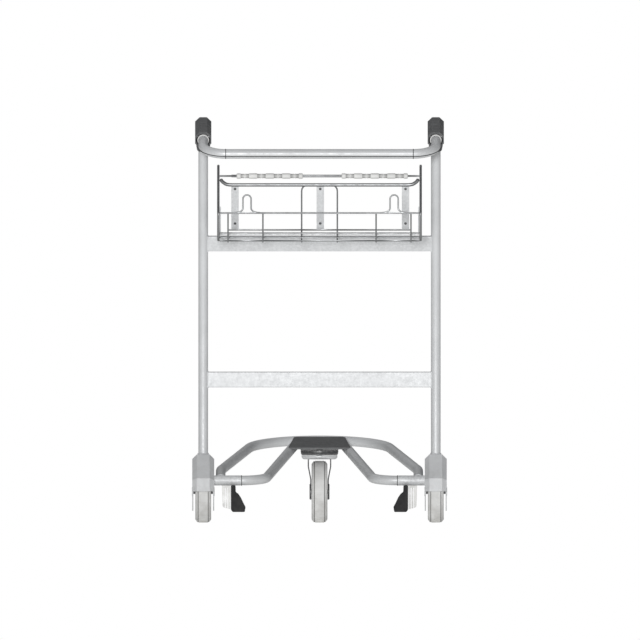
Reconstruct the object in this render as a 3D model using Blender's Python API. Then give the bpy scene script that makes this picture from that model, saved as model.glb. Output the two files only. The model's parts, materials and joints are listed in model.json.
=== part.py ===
"""Three-wheeled luggage trolley: bent tube chassis, leaning posts, sprung brake handle, wire basket.

Metres, +Z up, +Y towards the nose, the user stands at -Y. The origin is on the floor, under the
middle of the trolley's bounding box.
"""

import math

import bmesh
import bpy
from mathutils import Matrix, Vector

GAP = 0.0003  # left between pieces that touch

# Wheels
REAR_AXLE_Y = -0.20075
WHEEL_R = 0.080
WHEEL_SIDES = 32
HUB_SIDES = 24
AXLE_Z = WHEEL_R * math.cos(math.pi / WHEEL_SIDES)  # each wheel stands on one flat of its tread
TYRE_HALF_WIDTH = 0.0205
TREAD_HALF_WIDTH = 0.0130
RIM_R = 0.058
HUB_HALF_WIDTH = 0.0195
BEARING_R = 0.016
AXLE_R = 0.006

# Wheel housings
POST_X = 0.300
HOUSING_HALF_WIDTH = 0.0284
HOUSING_HALF_LENGTH = 0.088
HOUSING_TOP_HALF = 0.026
HOUSING_LOW_Z = 0.080
HOUSING_SLOPE_Z = 0.114
HOUSING_TOP_Z = 0.176
HOUSING_WALL = 0.003
HOUSING_CHAMFER = 0.012
HOUSING_SKIRT_Z = 0.030

# Tubes and posts
TUBE_R = 0.0125
TUBE_SIDES = 14
POST_ARC_R = 1.880
JOINT_TURN = math.radians(26.14)
POST_END_DEPTH = 0.0203
CROSSBAR_HALF = Vector((0.298, 0.006, 0.020))
CROSSBAR_HEIGHTS = {"lower_crossbar": 0.369, "upper_crossbar": 0.720}

# Chassis, in a plane that climbs towards the nose
STUB_Y = REAR_AXLE_Y - 0.045
STUB_Z = 0.1085
DECK_SLOPE = math.tan(math.radians(7.5))
RAIL_CORNER_X = 0.1425
RAIL_TAPER = math.tan(math.radians(6.5))
RAIL_BEND_R = 0.066
RAIL_LENGTH = 0.766
HOOP_X = 0.255
HOOP_KINK = 0.201
HOOP_R = 0.1848
HOOP_NOSE = 0.785
HOOP_TAPER = math.radians(9.9)
PLATE_NEAR = 0.539
PLATE_FAR = 0.744
PLATE_DEPTH = 0.0035
PLATE_PROUD = 0.0012

# Castor
SWIVEL_Y = STUB_Y + 0.640
CASTOR_TRAIL = 0.045
CROWN_R = 0.0463
CROWN_DISH = ((0.0405, 0.0), (0.0440, 0.0020), (0.0458, 0.0050))  # radius, height above the crown's foot
CROWN_LOW_Z = 0.163
CUP_R = 0.0487
CUP_LIP_R = 0.0467
CUP_LIP_HEIGHT = 0.0045
CUP_STEP = 0.0020
CUP_LOW_Z = 0.172
CUP_TOP_Z = 0.187
KINGPIN_R = 0.008
KINGPIN_CLEARANCE = 0.0006
KINGPIN_TOP_Z = 0.199
MOUNT_HALF_WIDTH = 0.049
MOUNT_HALF_LENGTH = 0.056
MOUNT_WALL = 0.004
ARM_TOP_Z = 0.170
ARM_BEND_LOW_Z = 0.111
ARM_BEND_HIGH_Z = 0.1445
ARM_FOOT_X = 0.0208
ARM_TOP_X = 0.0272
ARM_THICK = 0.0032
ARM_EYE_R = 0.0205
ARM_NECK_Z = 0.150
ARM_NECK_Y = (-0.034, 0.020)
ARM_HEAD_Y = 0.024
BOSS_R = 0.0200
BOSS_PROUD = 0.0018

# Handle and its joints
HANDLE_TILT = math.radians(20.0)
HANDLE_REACH = 0.1557
HANDLE_BEND_R = 0.058
MOUTH_REACH = 0.0535
PIVOT_REACH = 0.0235
BARREL_FAR = 0.078
BARREL_HALF = 0.021
CAVITY_R = 0.0183
PIN_R = 0.003

# Escalator feet
FOOT_HALF_LENGTH = 0.035

# Brake shoes
SHOE_HALF_WIDTH = 0.012
SHOE_PIVOT = (0.022, 0.1654)
SHOE_EYE_R = 0.005
SHOE_TOP_Z = 0.168
SHOE_GAP = 0.0006

# Basket: (distance behind the rear axle, height) of its section's corners
BASKET_X = 0.261
BASKET_BACK_LOW = (0.108, 0.755)
BASKET_FRONT_LOW = (0.275, 0.727)
BASKET_RIM = (0.290, 0.7985)
BASKET_LEAN = math.tan(math.radians(20.0))
SIDE_TOP_Z = 0.9313
TOP_RAIL_Z = 0.894
SECOND_RAIL_Z = 0.871
WIRE_R = 0.0020
SIDE_WIRE_R = 0.0032
TOP_RAIL_R = 0.0035
SECOND_RAIL_R = 0.0045
FLOOR_WIRE_Z = (0.747, 0.735)
CROSS_WIRE_X = (-0.236, -0.146, -0.046, 0.046, 0.146, 0.236)
FRONT_UPRIGHT_X = (-0.236, -0.146, 0.146, 0.236)
BACK_UPRIGHT_X = 0.046
HOOK_X = (-0.187, 0.1926)
HOOK_HALF = 0.0105
HOOK_ARCH_Z = 0.8345
STRAP_X = {"left": -0.218, "middle": 0.002, "right": 0.222}
STRAP_Z = (0.7555, 0.8680)
STRAP_HALF_WIDTH = 0.0095
STRAP_HALF_THICK = 0.0010
RIVET_Z = {"low": 0.770, "high": 0.859}
RIVET_R = 0.0022
SHELF_HALF = Vector((0.2620, 0.0220, 0.0015))
SHELF_BEHIND = 0.1040
SHELF_Z = 0.7428
BRACKET_HALF_THICK = 0.0015
SLEEVE_START = {"left": -0.214, "right": 0.057}
SLEEVE_LENGTH = 0.171
SLEEVE_FAT_R = 0.0072
SLEEVE_THIN_R = 0.0056

SIDES = {"left": -1, "right": 1}

LOOKS = {
    "steel_tube": ((0.62, 0.63, 0.64), 0.48, 0.15),
    "steel_wire": ((0.45, 0.46, 0.47), 0.30, 1.0),
    "grey_casing": ((0.52, 0.53, 0.54), 0.55, 0.0),
    "dark_plastic": ((0.155, 0.158, 0.162), 0.50, 0.0),
    "pale_plastic": ((0.70, 0.70, 0.69), 0.45, 0.0),
    "black_rubber": ((0.035, 0.035, 0.037), 0.80, 0.0),
    "grey_tyre": ((0.55, 0.55, 0.54), 0.75, 0.0),
    "hub_plastic": ((0.30, 0.31, 0.32), 0.50, 0.0),
    "bright_steel": ((0.70, 0.71, 0.72), 0.25, 1.0),
    "dark_steel": ((0.09, 0.092, 0.095), 0.45, 0.6),
}


def clear_scene():
    for obj in list(bpy.data.objects):
        bpy.data.objects.remove(obj, do_unlink=True)


def make_looks():
    for name, (colour, roughness, metallic) in LOOKS.items():
        material = bpy.data.materials.new(name)
        material.use_nodes = True
        shader = material.node_tree.nodes["Principled BSDF"]
        shader.inputs["Base Color"].default_value = (*colour, 1.0)
        shader.inputs["Roughness"].default_value = roughness
        shader.inputs["Metallic"].default_value = metallic


# ---------------------------------------------------------------- shape helpers


def add_object(name, bm, look):
    bmesh.ops.remove_doubles(bm, verts=bm.verts, dist=1e-7)
    bmesh.ops.recalc_face_normals(bm, faces=bm.faces)
    mesh = bpy.data.meshes.new(name)
    bm.to_mesh(mesh)
    bm.free()
    mesh.materials.append(bpy.data.materials[look])
    mesh.shade_smooth()
    mesh.set_sharp_from_angle(angle=math.radians(35))
    obj = bpy.data.objects.new(name, mesh)
    bpy.context.scene.collection.objects.link(obj)
    return obj


def loft(name, loops, look):
    """One closed solid through equal loops of points, with its two ends capped."""
    bm = bmesh.new()
    rings = [[bm.verts.new(point) for point in loop] for loop in loops]
    count = len(rings[0])
    for near, far in zip(rings, rings[1:]):
        for i in range(count):
            j = (i + 1) % count
            bm.faces.new((near[i], near[j], far[j], far[i]))
    bm.faces.new(rings[0])
    bm.faces.new(rings[-1])
    return add_object(name, bm, look)


def ring_points(centre, direction, radius, sides, up=Vector((0, 0, 1))):
    across = direction.cross(up)
    if across.length < 1e-6:
        across = direction.cross(Vector((0, 1, 0)))
    across.normalize()
    over = across.cross(direction)
    turns = [2 * math.pi * (i + 0.5) / sides for i in range(sides)]
    return [centre + radius * (math.cos(t) * across + math.sin(t) * over) for t in turns]


def tube(name, path, radius, look, sides=TUBE_SIDES):
    """A round bar swept along a path. Each ring lies across the mean of its two stretches."""
    path = [Vector(point) for point in path]
    loops = []
    for i, point in enumerate(path):
        before = (point - path[i - 1]).normalized() if i else (path[1] - point).normalized()
        after = (path[i + 1] - point).normalized() if i + 1 < len(path) else before
        direction = (before + after).normalized()
        if loops:
            # Carry the last ring along the stretch, on to the plane across the path here
            loops.append([
                p + before * ((point - p).dot(direction) / before.dot(direction)) for p in loops[-1]
            ])
        else:
            loops.append(ring_points(point, direction, radius, sides))
    return loft(name, loops, look)


def rod(name, start, end, radius, look, sides=12):
    start = Vector(start)
    end = Vector(end)
    direction = (end - start).normalized()
    return loft(name, [ring_points(p, direction, radius, sides) for p in (start, end)], look)


def turned(name, profile, centre, axis, look, segments):
    """A closed profile of (radius, height along the axis) points, turned about the axis."""
    centre = Vector(centre)
    axis = Vector(axis)
    bm = bmesh.new()
    rings = []
    outward = ring_points(Vector(), axis, 1.0, segments)
    for out in outward:
        rings.append([bm.verts.new(centre + out * r + axis * h) for r, h in profile])
    count = len(profile)
    for k in range(segments):
        near = rings[k]
        far = rings[(k + 1) % segments]
        for i in range(count):
            j = (i + 1) % count
            if profile[i][0] < 1e-9 and profile[j][0] < 1e-9:
                continue
            bm.faces.new((near[i], near[j], far[j], far[i]))
    return add_object(name, bm, look)


def block(name, half, place, look, bevel=0.0):
    """A box of the given half sizes, moved by a matrix, with its edges rounded."""
    bm = bmesh.new()
    bmesh.ops.create_cube(bm, size=2.0)
    bmesh.ops.scale(bm, vec=Vector(half), verts=bm.verts)
    if bevel:
        bmesh.ops.bevel(bm, geom=bm.edges, offset=bevel, segments=2, profile=0.5, affect="EDGES")
    bmesh.ops.transform(bm, matrix=place, verts=bm.verts)
    return add_object(name, bm, look)


def bent_path(corners, bend_r, steps=7):
    """Straight stretches between corners, each inner corner turned into an arc."""
    corners = [Vector(corner) for corner in corners]
    path = [corners[0]]
    for before, corner, after in zip(corners, corners[1:], corners[2:]):
        into = (corner - before).normalized()
        out = (after - corner).normalized()
        turn = into.angle(out)
        start = corner - into * (bend_r * math.tan(turn / 2))
        centre = corner + (out - into).normalized() * (bend_r / math.cos(turn / 2))
        axis = into.cross(out).normalized()
        for i in range(steps + 1):
            path.append(centre + Matrix.Rotation(turn * i / steps, 3, axis) @ (start - centre))
    path.append(corners[-1])
    return path


def boolean(target, tools, operation):
    """Cuts or joins the tools into the target, and removes them."""
    for tool in tools:
        modifier = target.modifiers.new("boolean", "BOOLEAN")
        modifier.operation = operation
        modifier.solver = "EXACT"
        modifier.object = tool
    graph = bpy.context.evaluated_depsgraph_get()
    mesh = bpy.data.meshes.new_from_object(target.evaluated_get(graph))
    target.modifiers.clear()
    target.data = mesh
    for tool in tools:
        bpy.data.objects.remove(tool, do_unlink=True)
    return target


def cut(target, *tools):
    return boolean(target, tools, "DIFFERENCE")


def join(target, *tools):
    return boolean(target, tools, "UNION")


def hang_on_pivot(name, place, pieces):
    """Parents pieces to an empty that stands on their joint's axis."""
    pivot = bpy.data.objects.new(name, None)
    pivot.location = place
    bpy.context.scene.collection.objects.link(pivot)
    for piece in pieces:
        piece.parent = pivot
        piece.matrix_parent_inverse = Matrix.Translation(-Vector(place))


# ---------------------------------------------------------------- places


def post_point(x, turn):
    return Vector((
        x,
        REAR_AXLE_Y - POST_ARC_R * (1 - math.cos(turn)),
        HOUSING_TOP_Z + POST_ARC_R * math.sin(turn),
    ))


def post_path(x, first, last, steps=16):
    return [post_point(x, first + (last - first) * i / steps) for i in range(steps + 1)]


def deck(x, forward):
    """A point of the chassis plane, a distance forward of the stubs."""
    return Vector((x, STUB_Y + forward, STUB_Z + forward * DECK_SLOPE))


def rail_path(side):
    end_x = RAIL_CORNER_X - RAIL_LENGTH * RAIL_TAPER
    inner_wall = POST_X - HOUSING_HALF_WIDTH - GAP
    corners = [deck(side * inner_wall, 0), deck(side * RAIL_CORNER_X, 0)]
    corners.append(deck(side * end_x, RAIL_LENGTH))
    return bent_path(corners, RAIL_BEND_R)


def hoop_path():
    arc_y = HOOP_NOSE - HOOP_R
    right = [deck(HOOP_X, 0.003), deck(HOOP_X, HOOP_KINK - 0.02), deck(HOOP_X - 0.001, HOOP_KINK)]
    right.append(deck(HOOP_X - 0.0045, HOOP_KINK + 0.02))
    steps = 18
    turns = [HOOP_TAPER + (math.pi - 2 * HOOP_TAPER) * i / steps for i in range(steps + 1)]
    nose = [deck(HOOP_R * math.cos(t), arc_y + HOOP_R * math.sin(t)) for t in turns]
    left = [Vector((-p.x, p.y, p.z)) for p in reversed(right)]
    return right + nose + left


def joint_frame(side):
    """The handle joint's centre and the direction of its barrel, towards the nose."""
    along = Vector((0, math.cos(HANDLE_TILT), math.sin(HANDLE_TILT)))
    return post_point(side * POST_X, JOINT_TURN), along


def behind(x, section):
    """A point of the basket's section, at x across the trolley."""
    return Vector((x, REAR_AXLE_Y - section[0], section[1]))


def back_section(z):
    """The basket's back panel at height z."""
    return (BASKET_BACK_LOW[0] + (z - BASKET_BACK_LOW[1]) * BASKET_LEAN, z)


def floor_section(z):
    """The basket's sloping floor where it is z high."""
    share = (BASKET_BACK_LOW[1] - z) / (BASKET_BACK_LOW[1] - BASKET_FRONT_LOW[1])
    return (BASKET_BACK_LOW[0] + share * (BASKET_FRONT_LOW[0] - BASKET_BACK_LOW[0]), z)


# ---------------------------------------------------------------- frame


def make_post(side_name, side):
    start = GAP / POST_ARC_R
    end = JOINT_TURN - POST_END_DEPTH / POST_ARC_R
    return tube(f"{side_name}_post", post_path(side * POST_X, start, end), TUBE_R, "steel_tube")


def make_crossbar(name, height):
    turn = math.asin((height - HOUSING_TOP_Z) / POST_ARC_R)
    place = Matrix.Translation(post_point(0, turn)) @ Matrix.Rotation(turn, 4, "X")
    bar = block(name, CROSSBAR_HALF, place, "steel_tube", bevel=0.002)
    reach = 0.04 / POST_ARC_R
    for side in SIDES.values():
        path = post_path(side * POST_X, turn - reach, turn + reach, steps=2)
        cut(bar, tube("post_cutter", path, TUBE_R + GAP, "steel_tube"))
    return bar


def side_loop(x, outline):
    return [Vector((x, REAR_AXLE_Y + y, z)) for y, z in outline]


def housing_solid(name, centre_x, inset):
    """The housing's cap with its rim chamfered, shrunk by inset on every side."""
    half = HOUSING_HALF_LENGTH - inset
    slope_z = HOUSING_SLOPE_Z - inset * math.tan(math.radians(22.5))
    top_half = HOUSING_TOP_HALF - inset * math.tan(math.radians(22.5))
    top_z = HOUSING_TOP_Z - inset
    chamfer = HOUSING_CHAMFER
    arch = [(-half, slope_z), (-top_half, top_z), (top_half, top_z), (half, slope_z)]
    outline = [(-half, HOUSING_LOW_Z)] + arch + [(half, HOUSING_LOW_Z)]
    small_half = half - chamfer
    small_slope = slope_z - chamfer * math.tan(math.radians(22.5))
    small_top = top_half - chamfer * math.tan(math.radians(22.5))
    small_arch = [(-small_half, small_slope), (-small_top, top_z - chamfer)]
    small_arch += [(small_top, top_z - chamfer), (small_half, small_slope)]
    small = [(-small_half, HOUSING_LOW_Z)] + small_arch + [(small_half, HOUSING_LOW_Z)]
    wide = HOUSING_HALF_WIDTH - inset
    loops = [
        side_loop(centre_x - wide, small),
        side_loop(centre_x - wide + chamfer, outline),
        side_loop(centre_x + wide - chamfer, outline),
        side_loop(centre_x + wide, small),
    ]
    return loft(name, loops, "grey_casing")


def make_housing(side_name, side):
    x = side * POST_X
    housing = housing_solid(f"{side_name}_wheel_housing", x, 0.0)
    lobe = [(-0.068, 0.090), (-0.068, 0.074), (-0.030, HOUSING_SKIRT_Z)]
    lobe += [(-y, z) for y, z in reversed(lobe)]
    ends = [side_loop(x + s * HOUSING_HALF_WIDTH, lobe) for s in (-1, 1)]
    join(housing, loft("skirt", ends, "grey_casing"))
    hollow = housing_solid("hollow", x, HOUSING_WALL)
    inner = HOUSING_HALF_WIDTH - HOUSING_WALL
    slot_top = HOUSING_LOW_Z + 0.0002
    slot = [(-0.1, 0.010), (-0.1, slot_top), (0.1, slot_top), (0.1, 0.010)]
    passage = loft("passage", [side_loop(x + s * inner, slot) for s in (-1, 1)], "grey_casing")
    bore_ends = [(x + s * 0.04, REAR_AXLE_Y, AXLE_Z) for s in (-1, 1)]
    bore = rod("bore", *bore_ends, AXLE_R + GAP, "grey_casing", sides=16)
    cut(housing, hollow, passage, bore)
    return housing


def make_rear_axle(side_name, side):
    """A plain axle, flush with the housing's two sides."""
    ends = [(side * POST_X + s * HOUSING_HALF_WIDTH, REAR_AXLE_Y, AXLE_Z) for s in (-1, 1)]
    return rod(f"{side_name}_wheel_axle", *ends, AXLE_R, "bright_steel", sides=16)


def make_chassis():
    hoop = tube("load_hoop", hoop_path(), TUBE_R, "steel_tube")
    rails = []
    for side_name, side in SIDES.items():
        rail = tube(f"{side_name}_chassis_tube", rail_path(side), TUBE_R, "steel_tube")
        cut(rail, tube("hoop_cutter", hoop_path(), TUBE_R + GAP, "steel_tube"))
        drop_far_piece(rail, deck(0, HOOP_NOSE).y - TUBE_R)
        stub_ends = [deck(side * (HOOP_X - 0.03), 0), deck(side * (HOOP_X + 0.03), 0)]
        stub_cutter = rod("stub_cutter", *stub_ends, TUBE_R + GAP, "steel_tube", sides=TUBE_SIDES)
        cut(hoop, stub_cutter)
        rails.append(rail)
    return [hoop] + rails


def drop_far_piece(obj, limit_y):
    """Removes any loose piece of a mesh that lies wholly beyond limit_y."""
    bm = bmesh.new()
    bm.from_mesh(obj.data)
    left = set(bm.verts)
    while left:
        island = {left.pop()}
        front = list(island)
        while front:
            vert = front.pop()
            for edge in vert.link_edges:
                other = edge.other_vert(vert)
                if other in left:
                    left.remove(other)
                    island.add(other)
                    front.append(other)
        if min(vert.co.y for vert in island) > limit_y:
            bmesh.ops.delete(bm, geom=list(island), context="VERTS")
    bm.to_mesh(obj.data)
    bm.free()


def make_nose_plate():
    """A pressed plate that saddles the two rails behind the nose of the hoop."""
    lift = TUBE_R / math.cos(math.atan(DECK_SLOPE))
    loops = []
    for height in (lift - PLATE_DEPTH, lift + PLATE_PROUD):
        outline = [(-0.078, PLATE_NEAR), (0.078, PLATE_NEAR), (0.080, PLATE_NEAR + 0.01)]
        outline += [(0.066, PLATE_FAR), (0.060, PLATE_FAR + 0.008), (-0.060, PLATE_FAR + 0.008)]
        outline += [(-0.066, PLATE_FAR), (-0.080, PLATE_NEAR + 0.01)]
        loops.append([deck(x, d) + Vector((0, 0, height)) for x, d in outline])
    plate = loft("nose_plate", loops, "dark_plastic")
    for side in SIDES.values():
        cut(plate, tube("rail_cutter", rail_path(side), TUBE_R + GAP, "steel_tube"))
    return plate


# ---------------------------------------------------------------- castor


def make_castor_mount():
    """A channel under the nose plate: a level web for the castor and two sloping flanges."""
    wide = MOUNT_HALF_WIDTH
    near = SWIVEL_Y - MOUNT_HALF_LENGTH
    far = SWIVEL_Y + MOUNT_HALF_LENGTH
    low = CUP_TOP_Z + GAP
    lift = TUBE_R / math.cos(math.atan(DECK_SLOPE)) - PLATE_DEPTH - GAP - 0.0002
    near_top, far_top = (deck(0, y - STUB_Y).z + lift for y in (near, far))
    section = [(near, low), (far, low), (far, far_top), (near, near_top)]
    ends = [[Vector((x, *spot)) for spot in section] for x in (-wide, wide)]
    mount = loft("castor_mount", ends, "dark_plastic")
    inner = wide - MOUNT_WALL
    floor = low + MOUNT_WALL
    clear_top = far_top + 0.01
    section = [(near - 0.01, floor), (far + 0.01, floor)]
    section += [(far + 0.01, clear_top), (near - 0.01, clear_top)]
    ends = [[Vector((x, *spot)) for spot in section] for x in (-inner, inner)]
    pocket = loft("pocket", ends, "dark_plastic")
    ends = [(0, SWIVEL_Y, low - 0.01), (0, SWIVEL_Y, floor + 0.01)]
    hole = rod("hole", *ends, KINGPIN_R + KINGPIN_CLEARANCE, "dark_plastic", sides=20)
    return cut(mount, pocket, hole)


def make_bearing_cup():
    bore = KINGPIN_R + KINGPIN_CLEARANCE
    lip_top = CUP_LOW_Z + CUP_LIP_HEIGHT
    profile = [(bore, CUP_LOW_Z), (CUP_LIP_R, CUP_LOW_Z), (CUP_LIP_R, lip_top)]
    profile += [(CUP_R, lip_top + CUP_STEP), (CUP_R, CUP_TOP_Z), (bore, CUP_TOP_Z)]
    return turned("castor_bearing_cup", profile, (0, SWIVEL_Y, 0), (0, 0, 1), "dark_steel", 24)


def arm_outline():
    """The arm in side view: a round eye at the axle, widening up to the crown."""
    back = SWIVEL_Y - CASTOR_TRAIL
    outline = []
    for step in range(13):
        angle = math.radians(-190.0 + 200.0 * step / 12)
        outline.append((back + ARM_EYE_R * math.cos(angle), AXLE_Z + ARM_EYE_R * math.sin(angle)))
    outline.append((SWIVEL_Y + ARM_NECK_Y[1], ARM_NECK_Z))
    outline += [(SWIVEL_Y + ARM_HEAD_Y, ARM_TOP_Z), (SWIVEL_Y - ARM_HEAD_Y, ARM_TOP_Z)]
    outline.append((SWIVEL_Y + ARM_NECK_Y[0], ARM_NECK_Z))
    return outline


def make_arm(side):
    """One arm: a strip bent twice as it goes down, trimmed to its side outline, with a boss."""
    inner = [(ARM_FOOT_X, AXLE_Z - 2 * ARM_EYE_R), (ARM_FOOT_X, ARM_BEND_LOW_Z)]
    inner += [(ARM_TOP_X, ARM_BEND_HIGH_Z), (ARM_TOP_X, ARM_TOP_Z + 0.01)]
    section = inner + [(x + ARM_THICK, z) for x, z in reversed(inner)]
    ends = []
    for y in (SWIVEL_Y - 0.10, SWIVEL_Y + 0.06):
        ends.append([Vector((side * x, y, z)) for x, z in section])
    arm = loft("arm", ends, "dark_steel")
    ends = []
    for x in (0.01, 0.05):
        ends.append([Vector((side * x, *spot)) for spot in arm_outline()])
    arm = boolean(arm, [loft("trim", ends, "dark_steel")], "INTERSECT")
    face = ARM_FOOT_X + ARM_THICK
    ends = [(side * x, SWIVEL_Y - CASTOR_TRAIL, AXLE_Z) for x in (face - 0.001, face + BOSS_PROUD)]
    return join(arm, rod("boss", *ends, BOSS_R, "dark_steel", sides=24))


def make_fork():
    bore = KINGPIN_R + GAP
    profile = [(bore, CROWN_LOW_Z)]
    profile += [(radius, CROWN_LOW_Z + height) for radius, height in CROWN_DISH]
    profile += [(CROWN_R, CUP_LOW_Z - GAP), (bore, CUP_LOW_Z - GAP)]
    fork = turned("castor_fork", profile, (0, SWIVEL_Y, 0), (0, 0, 1), "dark_steel", 24)
    for side in SIDES.values():
        join(fork, make_arm(side))
    ends = [(s * 0.04, SWIVEL_Y - CASTOR_TRAIL, AXLE_Z) for s in (-1, 1)]
    return cut(fork, rod("bore", *ends, AXLE_R + GAP, "dark_steel", sides=16))


def make_kingpin():
    place = Vector((0, SWIVEL_Y, 0))
    up = Vector((0, 0, 1))
    ends = [place + up * (CROWN_LOW_Z + GAP), place + up * KINGPIN_TOP_Z]
    pin = rod("castor_kingpin", *ends, KINGPIN_R, "bright_steel", sides=20)
    nut_z = CUP_TOP_Z + MOUNT_WALL + 2 * GAP
    nut = rod("nut", place + up * nut_z, place + up * (nut_z + 0.0065), 0.013, "bright_steel", sides=6)
    return join(pin, nut)


def make_castor_axle():
    """A plain axle, riveted flush with the outer faces of the fork's bosses."""
    half = ARM_FOOT_X + ARM_THICK + BOSS_PROUD
    ends = [(s * half, SWIVEL_Y - CASTOR_TRAIL, AXLE_Z) for s in (-1, 1)]
    return rod("castor_axle", *ends, AXLE_R, "bright_steel", sides=16)


# ---------------------------------------------------------------- wheels


def make_wheel(prefix, centre):
    """A tyre, a hub with a dished web, and the bearing sleeve that runs on the axle."""
    centre = Vector(centre)
    axis = (1, 0, 0)
    shoulder = WHEEL_R - (TYRE_HALF_WIDTH - TREAD_HALF_WIDTH)
    tread = [(shoulder, -TYRE_HALF_WIDTH), (WHEEL_R, -TREAD_HALF_WIDTH), (WHEEL_R, TREAD_HALF_WIDTH)]
    tread += [(shoulder, TYRE_HALF_WIDTH)]
    tyre_profile = [(RIM_R, -TYRE_HALF_WIDTH + 0.002)] + tread + [(RIM_R, TYRE_HALF_WIDTH - 0.002)]
    tyre = turned(f"{prefix}_tyre", tyre_profile, centre, axis, "grey_tyre", WHEEL_SIDES)
    rim = RIM_R - 2 * GAP
    flange = rim - 0.006
    boss = BEARING_R + 0.006
    web = 0.004
    one_side = [(BEARING_R + GAP, HUB_HALF_WIDTH), (boss, HUB_HALF_WIDTH), (boss + 0.002, web)]
    one_side += [(flange, web), (flange + 0.001, HUB_HALF_WIDTH - 0.002), (rim, HUB_HALF_WIDTH - 0.002)]
    other = [(r, -h) for r, h in reversed(one_side)]
    hub = turned(f"{prefix}_hub", one_side + other, centre, axis, "hub_plastic", HUB_SIDES)
    inner = AXLE_R + GAP
    sleeve_half = HUB_HALF_WIDTH + 0.0005
    sleeve = [(inner, sleeve_half), (BEARING_R, sleeve_half)]
    sleeve += [(BEARING_R, -sleeve_half), (inner, -sleeve_half)]
    bearing = turned(f"{prefix}_bearing", sleeve, centre, axis, "bright_steel", 16)
    return [tyre, hub, bearing]


def make_brake_shoe(side_name, side):
    """A shoe that lies along the top of the tyre, hung from an eye at its front end."""
    x = side * POST_X
    reach = WHEEL_R + SHOE_GAP
    pivot_y, pivot_z = SHOE_PIVOT
    arc = []
    steps = 6
    for i in range(steps + 1):
        y = -0.022 + 0.040 * i / steps
        arc.append((y, AXLE_Z + math.sqrt(reach * reach - y * y) + 0.0002))
    outline = arc + [(pivot_y, SHOE_TOP_Z), (-0.018, SHOE_TOP_Z), (-0.022, SHOE_TOP_Z - 0.003)]
    loops = [side_loop(x + s * SHOE_HALF_WIDTH, outline) for s in (-1, 1)]
    shoe = loft(f"{side_name}_brake_shoe", loops, "black_rubber")
    ends = [(x + s * 0.0135, REAR_AXLE_Y + pivot_y, pivot_z) for s in (-1, 1)]
    return join(shoe, rod("eye", *ends, SHOE_EYE_R, "black_rubber", sides=12))


# ---------------------------------------------------------------- handle


def octagon(centre, along, half, corner):
    """An octagon of the given half width across flats, square to the barrel."""
    up = Vector((1, 0, 0)).cross(along)
    flat = half - corner
    spots = [(half, -flat), (half, flat), (flat, half), (-flat, half)]
    spots += [(-half, flat), (-half, -flat), (-flat, -half), (flat, -half)]
    return [centre + Vector((1, 0, 0)) * a + up * b for a, b in spots]


def make_handle_joint(side_name, side):
    """An eight-sided barrel with a mouth for the handle, and a skirt that grips the post."""
    centre, along = joint_frame(side)
    stations = [(-MOUTH_REACH, 0.003), (-MOUTH_REACH + 0.003, 0.0), (0.012, 0.0)]
    stations += [(BARREL_FAR - 0.016, 0.0), (BARREL_FAR - 0.006, 0.003), (BARREL_FAR, 0.009)]
    loops = []
    for reach, inset in stations:
        loops.append(octagon(centre + along * reach, along, BARREL_HALF - inset, 0.011 - inset * 0.5))
    barrel = loft(f"{side_name}_handle_joint", loops, "dark_plastic")
    down = post_point(side * POST_X, JOINT_TURN - 0.048 / POST_ARC_R)
    down_axis = (down - centre).normalized()
    skirt_loops = [ring_points(centre + down_axis * 0.012, down_axis, 0.0192, 16)]
    skirt_loops.append(ring_points(centre + down_axis * 0.030, down_axis, 0.0185, 16))
    skirt_loops.append(ring_points(centre + down_axis * 0.047, down_axis, 0.0155, 16))
    join(barrel, loft("skirt", skirt_loops, "dark_plastic"))
    mouth = centre - along * (MOUTH_REACH + 0.01)
    cavity = rod("cavity", mouth, centre + along * 0.0045, CAVITY_R, "dark_plastic", sides=20)
    sunk = JOINT_TURN - (POST_END_DEPTH - GAP) / POST_ARC_R
    socket_path = post_path(side * POST_X, JOINT_TURN - 0.07 / POST_ARC_R, sunk, steps=3)
    socket = tube("socket", socket_path, TUBE_R + 2 * GAP, "dark_plastic")
    pivot = centre - along * PIVOT_REACH
    out = Vector((1, 0, 0))
    pin_hole = rod("pin_hole", pivot - out * 0.03, pivot + out * 0.03, PIN_R + GAP, "dark_plastic")
    return cut(barrel, cavity, socket, pin_hole)


def make_handle_pin(side_name, side):
    centre, along = joint_frame(side)
    pivot = centre - along * PIVOT_REACH
    out = Vector((BARREL_HALF, 0, 0))
    return rod(f"{side_name}_handle_pin", pivot - out, pivot + out, PIN_R, "bright_steel")


def make_handle():
    """One bent tube: a bar across the trolley and an arm into each joint."""
    corners = []
    for side in (-1, 1):
        centre, along = joint_frame(side)
        ends = [centre - along * 0.0035, centre - along * HANDLE_REACH]
        corners += ends if side < 0 else ends[::-1]
    handle = tube("handle", bent_path(corners, HANDLE_BEND_R, steps=8), TUBE_R, "steel_tube")
    for side in (-1, 1):
        centre, along = joint_frame(side)
        pivot = centre - along * PIVOT_REACH
        out = Vector((0.03, 0, 0))
        cut(handle, rod("pin_hole", pivot - out, pivot + out, PIN_R + 2 * GAP, "steel_tube"))
    return handle


def make_collar(side_name, side):
    """The pale ring round the handle's arm, just inside the joint's mouth."""
    centre, along = joint_frame(side)
    inner = TUBE_R + GAP
    profile = [(inner, 0.0), (0.0150, 0.0), (0.0150, 0.005), (inner, 0.005)]
    start = centre - along * (MOUTH_REACH - 0.0005)
    return turned(f"{side_name}_handle_collar", profile, start, along, "pale_plastic", 16)


# ---------------------------------------------------------------- escalator feet


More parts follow.
